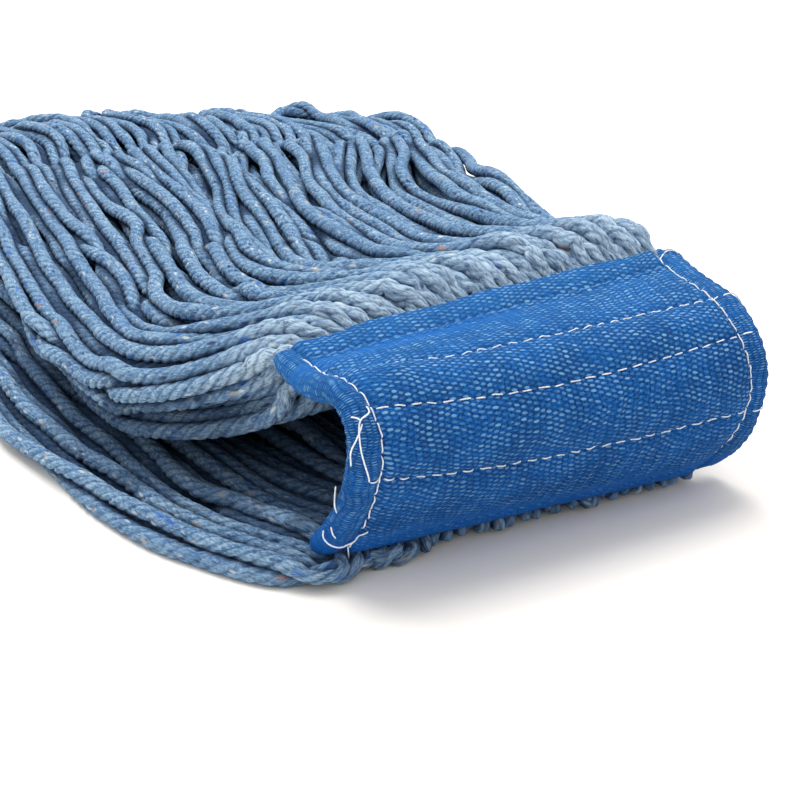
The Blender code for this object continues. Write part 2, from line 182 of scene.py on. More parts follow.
class Drift:
    """A smooth random field over (u, y): neighbouring strands drift together, in locks."""

    def __init__(self, seed, columns, amount, shortest=0.11, longest=0.30):
        rng = np.random.default_rng(seed)
        self.y = np.linspace(-0.02, 0.56, 117)
        self.u = np.linspace(0, 1, columns)
        self.rows = np.array([waves(self.y, amount, shortest, longest, 4, rng) for _ in range(columns)])

    def at(self, u, y):
        k = np.clip(u, 0, 0.9999) * (len(self.u) - 1)
        i = k.astype(int)
        f = smooth01(k - i)
        j = np.clip((y + 0.02) / 0.005, 0, 115.999)
        a = j.astype(int)
        g = j - a
        lo = self.rows[i, a] * (1 - g) + self.rows[i, a + 1] * g
        hi = self.rows[i + 1, a] * (1 - g) + self.rows[i + 1, a + 1] * g
        return lo * (1 - f) + hi * f


DRIFT_X = {"upper": Drift(71, 13, 0.0055, 0.14, 0.36), "lower": Drift(72, 15, 0.0052, 0.13, 0.34)}
DRIFT_X2 = {"upper": Drift(75, 13, 0.0055, 0.14, 0.36), "lower": Drift(76, 15, 0.0050, 0.13, 0.34)}
DRIFT_Z = {"upper": Drift(73, 12, 0.0025), "lower": Drift(74, 12, 0.0012)}


def top_of(u, y):
    """The upper pile's top surface."""
    k = np.interp(u, TOP_U, np.arange(len(TOP_U)))
    i = np.clip(k.astype(int), 0, len(TOP_U) - 2)
    rows = np.array([np.interp(y, TOP_Y, TOP_Z[:, c]) for c in range(len(TOP_U))])
    n = np.arange(len(y))
    return rows[i, n] * (1 - (k - i)) + rows[i + 1, n] * (k - i)


def leaving(t, x, row):
    """Where a sewn strand passes the headband's edge, and its heading there. row is 0 at the outer face, 1 at the inner."""
    depth = 0.0026 + 0.0040 * row
    point = on_band(t, x, depth)
    sign = -1.0 if t < W / 2 else 1.0
    ahead = on_band(t - sign * 0.004, x, depth)
    way = point - ahead
    return point, way / np.linalg.norm(way)


def pile_share(u):
    """The lower pile is lower at its two sides."""
    side = np.minimum(u, 1 - u)
    return 0.66 + 0.34 * smooth01(side / 0.14)


def pinch(u, y, groups):
    """How far a strand is drawn in by the tail band: 0 away from it, 1 at one of its stitches."""
    near = np.exp(-(((y - TAIL_BAND_Y) / 0.016) ** 2))
    return near * (0.40 + 0.60 * np.cos(math.pi * groups * u) ** 4)


def into_unit(v, ease):
    return 0.5 + 0.5 * np.tanh(ease * (v - 0.5)) / math.tanh(ease / 2)


def LOCK_RNG():
    return np.random.default_rng(404)


def rounded(body, y, upto, rounds):
    """Eases the corners of a run's first part, up to y = upto, where it turns away from the headband."""
    step = np.linalg.norm(np.diff(body, axis=0), axis=1)
    s = np.concatenate([[0.0], np.cumsum(step)])
    even = np.arange(0.0, s[-1], 0.0030)
    P = np.column_stack([np.interp(even, s, body[:, k]) for k in range(3)])
    where = np.interp(even, s, y)
    amount = (1 - smooth01((where - upto * 0.55) / (upto * 0.45))) * smooth01(even / 0.012)
    for _ in range(rounds):
        P[1:-1] += ((P[:-2] + P[2:]) / 2 - P[1:-1]) * (0.9 * amount[1:-1])[:, None]
    return np.vstack([P, body[-1:]])


def run_of(kind, u0, v0, row, own, rng):
    """One length of strand, from inside the headband to the tail, before it settles."""
    end_y = 0.515
    x0 = 0.0105 + u0 * (L - 0.021)
    if kind == "upper":
        start, way = leaving(0.0, x0, row)
        y = np.linspace(start[1] + 0.010, end_y, 170)
        grow = smooth01((y - y[0]) / 0.050)
        v = into_unit(v0 + waves(y, 0.06 * own, 0.09, 0.26, 4, rng) * grow, 2.0)
        u = np.clip(u0 + waves(y, 0.0085 * own, 0.11, 0.30, 4, rng) * grow * (1.0 - 0.6 * smooth01((u0 - 0.84) / 0.12)), 0.0, 1.0)
        # each strand turns away from the headband in its own place
        late = rng.normal(0.0, 0.007) * (0.4 + 0.6 * smooth01((v0 - 0.3) / 0.5)) + 0.010 * waves(np.array([u0]), 1.0, 0.2, 0.9, 3, LOCK_RNG())[0]
        y_turn = np.maximum(y - late * smooth01((y - y[0]) / 0.030) * (1 - smooth01((y - 0.12) / 0.09)), 0.0)
        x = upper_x(u, y_turn)
        layer = smooth01((v - 0.35) / 0.5)
        side = 1.0 - 0.85 * smooth01((u - 0.84) / 0.12)
        x += grow * side * (DRIFT_X["upper"].at(u, y) * layer + DRIFT_X2["upper"].at(u, y) * (1 - layer))
        x += waves(y, 0.0007 * own, 0.040, 0.08, 3, rng) * grow
        x += (x0 - upper_x(u0, y[0])) * np.exp(-(y - y[0]) / 0.012)
        high = smooth01((v0 - 0.35) / 0.4)
        early = rng.uniform(0.0, 0.015) * (0.25 + 0.75 * high) * min(1.0, u0 / 0.12)
        x -= early * smooth01((y - y[0] + 0.006) / 0.020) * (1 - smooth01((y - 0.050) / 0.060))
        if own > 1.5:
            x += 0.004 * np.sin(2 * math.pi * y / 0.31 + rng.uniform(0, 6.28)) * grow * layer
        top = top_of(u, y) + (rng.uniform(-0.001, 0.0075) * high) * np.exp(-(((y - y[0] - 0.010) / 0.015) ** 2))
        low = np.where(
            y < 0.105,
            np.interp(y, (0.022, 0.030) + UPPER_LOW_Y, (0.0720, 0.0690) + UPPER_LOW_Z),
            np.interp(y, LOWER_TOP_Y, LOWER_TOP_Z) - 0.001,
        )
        # the underside sags just behind the headband
        low = low - np.interp(y, (0.024, 0.036, 0.048, 0.066, 0.095), (0.0, 0.0215, 0.0290, 0.0190, 0.0)) * (1.0 - 0.55 * smooth01(u / 0.6))
        lift = np.interp(y, (0.03, 0.10, 0.16), (0.0055, 0.0055, 0.0)) * u
        squeeze = 1.0 - 0.30 * pinch(u, y, 4)
        z = low + lift + R + v * np.maximum((top - low - lift) * squeeze - 2 * R, 0.0)
        z += DRIFT_Z["upper"].at(u, y) * grow
        gather = np.exp(-(((y - TAIL_BAND_Y) / 0.020) ** 2))
        centre = (np.floor(np.clip(u, 0, 0.999) * 4) + 0.5) / 4
        x = x + (upper_x(centre, y) - x) * 0.20 * gather
    else:
        start, way = leaving(W, x0, row)
        # near the corner the strands come forward, and sweep round it
        forward = 1.0 - smooth01((x0 - 0.008) / 0.050)
        y = np.linspace((start[1] + 0.009) * (1 - forward) - 0.0045 * forward, end_y, 170)
        grow = smooth01((y - y[0]) / 0.050)
        v = into_unit(v0 + waves(y, 0.07 * own, 0.09, 0.26, 4, rng) * grow, 2.0)
        u = np.clip(u0 + waves(y, 0.0075 * own, 0.11, 0.30, 4, rng) * grow, 0.0, 1.0)
        x = lower_x(u, y)
        x += grow * DRIFT_X["lower"].at(u, y)
        x += waves(y, 0.0006 * own, 0.040, 0.08, 3, rng) * grow
        x += (x0 - lower_x(u0, y[0])) * (1.0 - 0.9 * forward) * np.exp(-(y - y[0]) / 0.015)
        top = np.interp(y, (0.004,) + LOWER_TOP_Y, (0.0105,) + LOWER_TOP_Z)
        squeeze = 1.0 - 0.35 * pinch(u, y, 5)
        z = R + v * np.maximum(top * pile_share(u) * squeeze - 2 * R, 0.0)
        gather = np.exp(-(((y - TAIL_BAND_Y) / 0.020) ** 2))
        centre = (np.floor(np.clip(u, 0, 0.999) * 5) + 0.5) / 5
        x = x + (lower_x(centre, y) - x) * 0.14 * gather
    body = np.column_stack([x, skewed(x, y), z])
    body = rounded(body, y, 0.145 if kind == "upper" else 0.070, 260 if kind == "upper" else 60)
    # out of the edge: a smooth arc from the sewn heading into the flow
    if kind == "lower":
        edge = on_band(W, x0, 0.0)
        bulge = np.clip(0.62 + 0.30 * smooth01((x0 - 0.060) / 0.060) + 0.80 * waves(np.array([x0]), 1.0, 0.013, 0.046, 3, np.random.default_rng(88))[0], 0.25 * smooth01((x0 - 0.060) / 0.060), 1.08)
        proud = 0.0062 * bulge * (1.0 - 0.50 * row)
        knee = edge + np.array((rng.uniform(-0.0022, 0.0022), 0.0008 + 0.0058 * row - proud + rng.uniform(-0.0010, 0.0010), 0.0))
        knee += np.array((-0.0050, -0.0068 + 0.0030 * row, 0.0)) * forward
        knee[2] = R * 0.97 + rng.uniform(0.0, 0.0012) + 0.0030 * forward * rng.uniform(0.0, 1.0)
    a, b = start, body[0]
    reach = np.linalg.norm(b - a)
    onward = body[2] - body[0]
    onward /= np.linalg.norm(onward)
    s = np.linspace(0, 1, 9)[:-1, None]
    arc = (
        (2 * s**3 - 3 * s**2 + 1) * a
        + (s**3 - 2 * s**2 + s) * way * reach
        + (-2 * s**3 + 3 * s**2) * b
        + (s**3 - s**2) * onward * reach
    )
    inside = np.array([a - way * 0.0060, a - way * 0.0030])
    if kind == "lower":
        onto = np.array((-0.0045 * forward, 0.0075 - 0.0062 * forward, 0.0004))
        c = np.vstack([a, a + way * 0.0012, knee, knee + onto, body[1:4]])
        return np.vstack([inside, curve_points(c), body[4:]])
    return np.vstack([inside, arc, body])


def curve_points(P):
    """A corner line made even and lightly rounded."""
    d = np.concatenate([[0.0], np.cumsum(np.linalg.norm(np.diff(P, axis=0), axis=1))])
    s = np.arange(0, d[-1], 0.0005)
    Q = np.column_stack([np.interp(s, d, P[:, k]) for k in range(3)])
    for _ in range(44):
        Q[1:-1] = (Q[:-2] + 2 * Q[1:-1] + Q[2:]) / 4
    return Q


def resample(points, step=None, count=None):
    d = np.concatenate([[0.0], np.cumsum(np.linalg.norm(np.diff(points, axis=0), axis=1))])
    n = count or int(round(d[-1] / step)) + 1
    s = np.linspace(0, d[-1], n)
    return np.column_stack([np.interp(s, d, points[:, k]) for k in range(3)])


def loops_of(kind, loops):
    """Each loop as one line of points: out, round the looped end, and back."""
    n = 2 * loops
    wide = 0.262 if kind == "upper" else 0.346
    offset = max(1, int(round(0.025 / (wide / n))))
    rows = np.arange(n) % 3
    lines = []
    for j in range(n):
        rng = np.random.default_rng((5000 if kind == "upper" else 7000) + j)
        u = (j + 0.5) / n
        row = rows[j]
        rank = row / 3 + rng.uniform(0.01, 0.32)
        v = 1.0 - rank**1.35 if kind == "upper" else 1.0 - rank
        own = (0.6, 1.0, 1.6)[rng.integers(3)]
        lines.append((u, run_of(kind, u, v, row / 2, own, rng)))
    out = []
    j = 0
    while j < n:
        k = min(offset, (n - j) // 2)
        for i in range(k):
            out.append((j + i, j + i + k))
        j += 2 * k
    made = []
    for a, b in out:
        cut = RNG.uniform(0.480, 0.506)
        pa, pb = lines[a][1], lines[b][1]
        pa = pa[pa[:, 1] < skewed(pa[:, 0], cut)]
        pb = pb[pb[:, 1] < skewed(pb[:, 0], cut + RNG.uniform(-0.004, 0.004))]
        p, q = pa[-1], pb[-1]
        mid, half = (p + q) / 2, (q - p) / 2
        wide_by = max(1.0, 0.0125 / max(np.linalg.norm(half[:2]), 1e-6))
        ang = np.linspace(math.pi, 0, 15)[1:-1]
        arc = mid + np.outer(-np.cos(ang), -half)
        arc = mid[None, :] + np.cos(ang)[:, None] * half[None, :] * (1 + (wide_by - 1) * np.sin(ang)[:, None])
        arc[:, 1] += np.sin(ang) * max(np.linalg.norm(half[:2]), 0.012) * 1.15
        arc[:, 2] = mid[2] + np.cos(ang) * half[2] - 0.004 * np.sin(ang) * (kind == "upper")
        line = np.vstack([pa, arc, pb[::-1]])
        made.append(resample(line, step=STEP))
    return made


def close_pairs(P, strand, index, reach):
    cell = np.floor(P / reach).astype(np.int64)
    cell -= cell.min(axis=0) - 1
    dims = cell.max(axis=0) + 3
    key = (cell[:, 0] * dims[1] + cell[:, 1]) * dims[2] + cell[:, 2]
    order = np.argsort(key, kind="stable")
    ks = key[order]
    found_a, found_b = [], []
    number = np.arange(len(P))
    for dx in (0, 1):
        for dy in (-1, 0, 1):
            for dz in (-1, 0, 1):
                if (dx, dy, dz) < (0, 0, 0):
                    continue
                jump = (dx * dims[1] + dy) * dims[2] + dz
                lo = np.searchsorted(ks, ks + jump, "left")
                hi = np.searchsorted(ks, ks + jump, "right")
                n = hi - lo
                total = int(n.sum())
                if total == 0:
                    continue
                a = np.repeat(number, n)
                ahead = np.concatenate([[0], np.cumsum(n)[:-1]])
                b = np.arange(total) - np.repeat(ahead, n) + np.repeat(lo, n)
                if jump == 0:
                    keep = b > a
                    a, b = a[keep], b[keep]
                a, b = order[a], order[b]
                gap = P[a] - P[b]
                keep = (gap * gap).sum(axis=1) < reach * reach
                a, b = a[keep], b[keep]
                keep = (strand[a] != strand[b]) | (np.abs(index[a] - index[b]) > 5)
                found_a.append(a[keep])
                found_b.append(b[keep])
    return np.concatenate(found_a), np.concatenate(found_b)


def settle(lines, kinds, rounds):
    """Moves the strands apart where they overlap, and keeps their lengths and their smallest bends."""
    counts = [len(p) for p in lines]
    P = np.vstack(lines)
    strand = np.repeat(np.arange(len(lines)), counts)
    index = np.concatenate([np.arange(n) for n in counts])
    last = np.repeat(np.array(counts) - 1, counts)
    from_end = np.minimum(index, last - index)
    rest = P.copy()
    upper = np.repeat(np.array(kinds) == 0, counts)
    free = np.where(upper, from_end > 2, from_end > 5).astype(float)
    upper = np.repeat(np.array(kinds) == 0, counts)
    # the strands are squeezed where they leave the headband
    grown = np.where(upper, (from_end * STEP - 0.005) / 0.013, (from_end * STEP - 0.0055) / 0.005)
    thick = R * np.clip(0.42 + 0.58 * grown, 0.42, np.where(upper | (from_end > 9), 1.0, 0.76)) * 0.955
    nxt = np.flatnonzero(index < last)
    two = np.flatnonzero((index >= 2) & (index <= last - 2))
    hold = np.where(np.abs(P[:, 1] - skewed(P[:, 0], TAIL_BAND_Y)) < 0.012, 0.06, 0.018)
    M = len(P)

    def scatter(a, b, move, weight=1.0):
        out = np.empty((M, 3))
        for k in range(3):
            out[:, k] = np.bincount(a, move[:, k], M) - np.bincount(b, move[:, k], M)
        return out

    knots = np.linspace(0, W, 50)
    pairs = None
    for it in range(rounds):
        if it % 6 == 0:
            pairs = close_pairs(P, strand, index, 2 * R + 0.0016)
        # anchor, and a little weight
        P += (rest - P) * (hold * free)[:, None]
        P[:, 2] -= 0.00006 * free
        # touching strands
        a, b = pairs
        gap = P[a] - P[b]
        dist = np.sqrt((gap * gap).sum(axis=1)) + 1e-9
        over = thick[a] + thick[b] - dist
        hit = over > 0
        a, b, gap, dist, over = a[hit], b[hit], gap[hit], dist[hit], over[hit]
        move = gap / dist[:, None] * (over * 0.5)[:, None]
        count = np.bincount(a, minlength=M) + np.bincount(b, minlength=M)
        shift = scatter(a, b, move) / np.maximum(1.0, count * 0.42)[:, None]
        P += shift * free[:, None]
        # lengths
        for _ in range(2):
            gap = P[nxt + 1] - P[nxt]
            dist = np.sqrt((gap * gap).sum(axis=1)) + 1e-9
            move = gap * ((dist - STEP) / dist * 0.42)[:, None]
            P += scatter(nxt, nxt + 1, move) * free[:, None]
        # bends: no tighter than about 12 mm, and eased a little
        gap = P[two + 2] - P[two - 2]
        dist = np.sqrt((gap * gap).sum(axis=1)) + 1e-9
        short = np.clip(4 * STEP * 0.958 - dist, 0, None)
        move = gap / dist[:, None] * (short * 0.45)[:, None]
        P += scatter(two + 2, two - 2, move) * free[:, None]
        ease = np.zeros_like(P)
        ease[1:-1] = (P[:-2] + P[2:]) / 2 - P[1:-1]
        ease *= (free * (from_end > 0))[:, None]
        P += ease * 0.12
        # floor
        P[:, 2] = np.where(free > 0, np.maximum(P[:, 2], thick + 0.0002), P[:, 2])
        # headband
        if it % 3 == 0:
            near = np.flatnonzero((P[:, 1] < 0.050) & (P[:, 0] > -0.006) & (P[:, 0] < L + 0.006) & (from_end > 4))
            if len(near):
                mid = on_band(knots[None, :], np.clip(P[near, 0], 0, L)[:, None], SANDWICH / 2)
                d = P[near][:, None, 1:] - mid[:, :, 1:]
                r = np.sqrt((d * d).sum(axis=2))
                k = r.argmin(axis=1)
                row = np.arange(len(near))
                best = r[row, k]
                end = (k == 0) | (k == len(knots) - 1)
                room = SANDWICH / 2 + thick[near] + 0.0006
                room = np.where(end, np.minimum(room, 0.0045), room)
                out = np.clip(room - best, 0, 0.001)
                P[near, 1:] += d[row, k] / (best + 1e-9)[:, None] * out[:, None]
    # an even line for the tubes
    near_exit = (from_end < 9) & (from_end > 1) & upper
    for _ in range(12):
        ease = np.zeros_like(P)
        ease[1:-1] = (P[:-2] + P[2:]) / 2 - P[1:-1]
        P += ease * (0.5 * near_exit)[:, None]
    for _ in range(3):
        ease = np.zeros_like(P)
        ease[1:-1] = (P[:-2] + P[2:]) / 2 - P[1:-1]
        ease *= np.where(upper, from_end > 1, from_end > 6)[:, None]
        P += ease * 0.5
    cuts = np.cumsum(counts)[:-1]
    return np.split(P, cuts), np.split(thick / (R * 0.955), cuts)


# painted shade: these measures darken the yarn's colour between strands and deep in the pile
def crowding(lines):
    """How each point of each strand is hemmed in: a vector and a matrix whose form b.n + nCn says how close its
    neighbours are in direction n, and how deep it lies in the pile."""
    counts = [len(p) for p in lines]
    P = np.vstack(lines)
    strand = np.repeat(np.arange(len(lines)), counts)
    index = np.concatenate([np.arange(n) for n in counts])
    a, b = close_pairs(P, strand, index, 2 * R + 0.0030)
    gap = P[b] - P[a]
    dist = np.sqrt((gap * gap).sum(axis=1)) + 1e-9
    way = gap / dist[:, None]
    # a neighbour has about two points in reach, so each counts for about half
    near = smooth01((2 * R + 0.0028 - dist) / 0.0030) * 0.52
    M = len(P)
    B = np.zeros((M, 3))
    C = np.zeros((M, 3, 3))
    for i in range(3):
        B[:, i] = 0.5 * (np.bincount(a, way[:, i] * near, M) - np.bincount(b, way[:, i] * near, M))
        for j in range(3):
            both = way[:, i] * way[:, j] * near
            C[:, i, j] = 0.5 * (np.bincount(a, both, M) + np.bincount(b, both, M))
    # depth under the pile's top
    cell = 0.005
    lo = P[:, :2].min(axis=0) - cell
    g = ((P[:, :2] - lo) / cell).astype(int)
    top = np.zeros(g.max(axis=0) + 3)
    np.maximum.at(top, (g[:, 0] + 1, g[:, 1] + 1), P[:, 2])
    around = top[1:-1, 1:-1].copy()
    for i in (0, 1, 2):
        for j in (0, 1, 2):
            around += top[i : i + around.shape[0], j : j + around.shape[1]]
    around = around / 10
    depth = np.clip((around[g[:, 0], g[:, 1]] - P[:, 2]) / 0.013, 0, 1)
    cuts = np.cumsum(counts)[:-1]
    return np.split(B, cuts), np.split(C, cuts), np.split(depth, cuts)

# ---------------------------------------------------------------- mesh tools
def new_object(name, mesh, mats):
    ob = bpy.data.objects.new(name, mesh)
    for m in mats if isinstance(mats, (list, tuple)) else [mats]:
        mesh.materials.append(m)
    bpy.context.scene.collection.objects.link(ob)
    return ob


def mesh_from(name, verts, quads, fans=(), smooth=True):
    """A mesh from arrays: verts (n,3) in band coordinates, quads (m,4), and fans, each an array (k,c) of c-sided faces."""
    mesh = bpy.data.meshes.new(name)
    verts = to_world(verts)
    groups = [g for g in (quads, *fans) if len(g)]
    loops = np.concatenate([g.ravel() for g in groups])
    sizes = np.concatenate([np.full(len(g), g.shape[1]) for g in groups])
    starts = np.concatenate([[0], np.cumsum(sizes)[:-1]])
    mesh.vertices.add(len(verts))
    mesh.vertices.foreach_set("co", verts.astype(np.float32).ravel())
    mesh.loops.add(len(loops))
    mesh.loops.foreach_set("vertex_index", loops.astype(np.int32))
    mesh.polygons.add(len(sizes))
    mesh.polygons.foreach_set("loop_start", starts.astype(np.int32))
    mesh.polygons.foreach_set("loop_total", sizes.astype(np.int32))
    mesh.polygons.foreach_set("use_smooth", np.full(len(sizes), smooth))
    mesh.update(calc_edges=True)
    mesh.validate()
    return mesh


def attribute(mesh, name, values, kind="FLOAT_VECTOR"):
    data = mesh.attributes.new(name, kind, "POINT").data
    key = "vector" if kind == "FLOAT_VECTOR" else "value"
    data.foreach_set(key, np.asarray(values, np.float32).ravel())


PITCH = 0.0245  # one turn of the four plies


def profile(sides):
    """A strand's section: angle and radius (of 1) round it, for four plies."""
    if sides == 8:
        a = np.arange(8) * math.pi / 4
        r = np.where(np.arange(8) % 2 == 0, 0.84, 1.0)
    elif sides == 12:
        a = np.arange(4)[:, None] * math.pi / 2 + np.radians((0, 31, 59))[None, :]
        r = np.tile((0.790, 0.990, 0.990), (4, 1))
    else:
        a = np.arange(4)[:, None] * math.pi / 2 + np.radians((0, 21, 45, 69))[None, :]
        r = np.tile((0.750, 0.930, 1.005, 0.930), (4, 1))
    return a.ravel(), r.ravel()


def frames_along(P):
    """Tangent, normal and side at each point of (K,N,3) lines, without twist."""
    T = np.zeros_like(P)
    T[:, 1:-1] = P[:, 2:] - P[:, :-2]
    T[:, 0], T[:, -1] = P[:, 1] - P[:, 0], P[:, -1] - P[:, -2]
    T /= np.linalg.norm(T, axis=2, keepdims=True)
    N = np.zeros_like(P)
    up = np.array((0.0, 0.0, 1.0)) + 0.001
    n = up - (T[:, 0] @ up)[:, None] * T[:, 0]
    N[:, 0] = n / np.linalg.norm(n, axis=1, keepdims=True)
    for i in range(1, P.shape[1]):
        n = N[:, i - 1]
        n = n - (n * T[:, i]).sum(axis=1, keepdims=True) * T[:, i]
        N[:, i] = n / np.linalg.norm(n, axis=1, keepdims=True)
    return T, N, np.cross(T, N)


def curve_through(P, factor, ends=0.0):
    """Cubic points between the solver's points: (N,3) -> about N*factor points, closer together at the two ends."""
    d = np.concatenate([[0.0], np.cumsum(np.linalg.norm(np.diff(P, axis=0), axis=1))])
    n = int(round((len(P) - 1) * factor)) + 1
    s = np.linspace(0, d[-1], n)
    if ends:
        close = np.linspace(0, ends, int(ends / 0.0007) + 1)
        s = np.concatenate([close, s[(s > ends + 0.0005) & (s < d[-1] - ends - 0.0005)], d[-1] - close[::-1]])
    k = np.clip(np.searchsorted(d, s, "right") - 1, 0, len(P) - 2)
    h = d[k + 1] - d[k]
    u = ((s - d[k]) / h)[:, None]
    M = np.zeros_like(P)
    M[1:-1] = (P[2:] - P[:-2]) / (d[2:] - d[:-2])[:, None]
    M[0], M[-1] = (P[1] - P[0]) / (d[1] - d[0]), (P[-1] - P[-2]) / (d[-1] - d[-2])
    h = h[:, None]
    return (
        (2 * u**3 - 3 * u**2 + 1) * P[k]
        + (u**3 - 2 * u**2 + u) * h * M[k]
        + (-2 * u**3 + 3 * u**2) * P[k + 1]
        + (u**3 - u**2) * h * M[k + 1]
    ), s


def strand_mesh(name, lines, thicks, numbers, sides=12, factor=1.75, radius=R, pitch=PITCH, crowd=None, pale=0.0, ends=0.0):
    """One mesh of several strands: plied tubes with closed ends. Returns the mesh and the centrelines."""
    ang, rad = profile(sides)
    verts, quads, caps = [], [], []
    straight, ply, strand_id, painted_shade_and_light_values = [], [], [], []
    centre = []
    base = 0
    for place, (P, thick, number) in enumerate(zip(lines, thicks, numbers)):
        C, s = curve_through(P, factor, ends)
        th = np.interp(s / s[-1], np.linspace(0, 1, len(thick)), thick)
        rng = np.random.default_rng(9000 + number)
        # matted and lumpy where it leaves the headband
        matted = (1 - smooth01((np.minimum(s, s[-1] - s) - 0.014) / 0.030)) * (pale > 0)
        wob = smooth01((np.minimum(s, s[-1] - s) - 0.005) / 0.006)
        lump = [sum(rng.uniform(0.4, 1.0) * np.sin(2 * math.pi * s / w + rng.uniform(0, 6.28)) for w in (0.007, 0.0105, 0.016)) for _ in range(4)]
        C = C + 0.00042 * (matted * wob)[:, None] * np.column_stack(lump[:3])
        T, N, B = (a[0] for a in frames_along(C[None]))
        # the strand's thickness and twist vary a little along it
        slow = sum(
            rng.uniform(0.3, 1.0) * np.sin(2 * math.pi * s / w + rng.uniform(0, 6.28)) for w in (0.021, 0.034, 0.055, 0.090)
        )
        th = th * (1.0 + 0.022 * slow) * rng.uniform(0.96, 1.04) * (1.0 + 0.055 * matted * (1.0 + lump[3]))
        turn = rng.uniform(0, 2 * math.pi) - 2 * math.pi * s / pitch * rng.uniform(0.94, 1.07)
        turn = turn + 0.22 * np.sin(2 * math.pi * s / 0.047 + rng.uniform(0, 6.28))
        n = len(C)
        a = ang[None, :] + turn[:, None]
        # the plies are laid tighter in some places than in others
        open_by = 0.55 + 0.45 * np.sin(2 * math.pi * s / 0.013 + 3 * np.sin(2 * math.pi * s / 0.043 + rng.uniform(0, 6.28)) + rng.uniform(0, 6.28))
        groove = 1.0 - (1.0 - rad[None, :]) * open_by[:, None] * 1.15
        r = (groove * radius) * th[:, None]
        rough = rng.normal(0.0, 1.0, r.shape)
        rough[1:] = rough[1:] * 0.8 + rough[:-1] * 0.45
        r = r * (1.0 + (0.026 + 0.020 * matted[:, None]) * rough)
        ring = C[:, None, :] + r[..., None] * (np.cos(a)[..., None] * N[:, None, :] + np.sin(a)[..., None] * B[:, None, :])
        verts.append(ring.reshape(-1, 3))
        i, j = np.meshgrid(np.arange(n - 1), np.arange(sides), indexing="ij")
        k = (j + 1) % sides
        q = np.stack([i * sides + j, i * sides + k, (i + 1) * sides + k, (i + 1) * sides + j], axis=-1).reshape(-1, 4)
        quads.append(q + base)
        caps.append(np.arange(sides)[::-1] + base)
        caps.append(np.arange(sides) + (n - 1) * sides + base)
        shift = rng.uniform(0, 40, 3)
        st = np.stack(
            [radius * np.cos(a) + shift[0], radius * np.sin(a) + shift[1], np.broadcast_to(s[:, None], a.shape) + shift[2]],
            axis=-1,
        )
        straight.append(st.reshape(-1, 3))
        # painted shade: without neighbour data the core strands get an even half of the painted shade
        if crowd is None:
            painted_shade_and_light_values.append(np.full(n * sides, 0.5))
        else:
            way = (ring - C[:, None, :]) / r[..., None]
            old, new = np.linspace(0, 1, len(P)), s / s[-1]
            b = np.stack([np.interp(new, old, crowd[0][place][:, k]) for k in range(3)], axis=-1)
            m = np.stack(
                [np.stack([np.interp(new, old, crowd[1][place][:, k, q]) for k in range(3)], axis=-1) for q in range(3)], axis=-1
            )
            f = np.einsum("nsk,nk->ns", way, b) + np.einsum("nsk,nkq,nsq->ns", way, m, way)
            deep = np.interp(new, old, crowd[2][place])
            # painted shade: darker where neighbours lie close in that direction, and deeper in the pile
            painted_shade_and_light = smooth01((f - 0.22) / 0.62)
            whole = 1 - (1 - 0.92 * painted_shade_and_light) * (1 - 0.62 * smooth01(deep))[:, None]
            # painted light: where the strands spread out of the headband the painted shade is lessened, and with pale
            # the upper strands' exits are painted paler
            close_by = np.minimum(s, s[-1] - s)
            out_of = 1 - smooth01((close_by - 0.016) / 0.040)
            painted_shade_and_light_values.append((whole * (1 - (0.66 if pale > 0 else 0.15) * out_of)[:, None] - pale * out_of[:, None]).ravel())
        height = (rad - rad.min()) / (rad.max() - rad.min())
        pl = np.stack(
            [np.broadcast_to(np.cos(ang), a.shape), np.broadcast_to(np.sin(ang), a.shape), np.broadcast_to(height, a.shape)],
            axis=-1,
        )
        ply.append(pl.reshape(-1, 3))
        strand_id.append(np.full(n * sides, (number * 0.61803) % 1.0))
        centre.append(C)
        base += n * sides
    mesh = mesh_from(name, np.vstack(verts), np.vstack(quads), [np.vstack(caps)])
    attribute(mesh, "straight", np.vstack(straight))
    attribute(mesh, "ply", np.vstack(ply))
    attribute(mesh, "strand", np.concatenate(strand_id), "FLOAT")
    attribute(mesh, "painted_shade_and_light", np.concatenate(painted_shade_and_light_values), "FLOAT")
    return mesh, centre


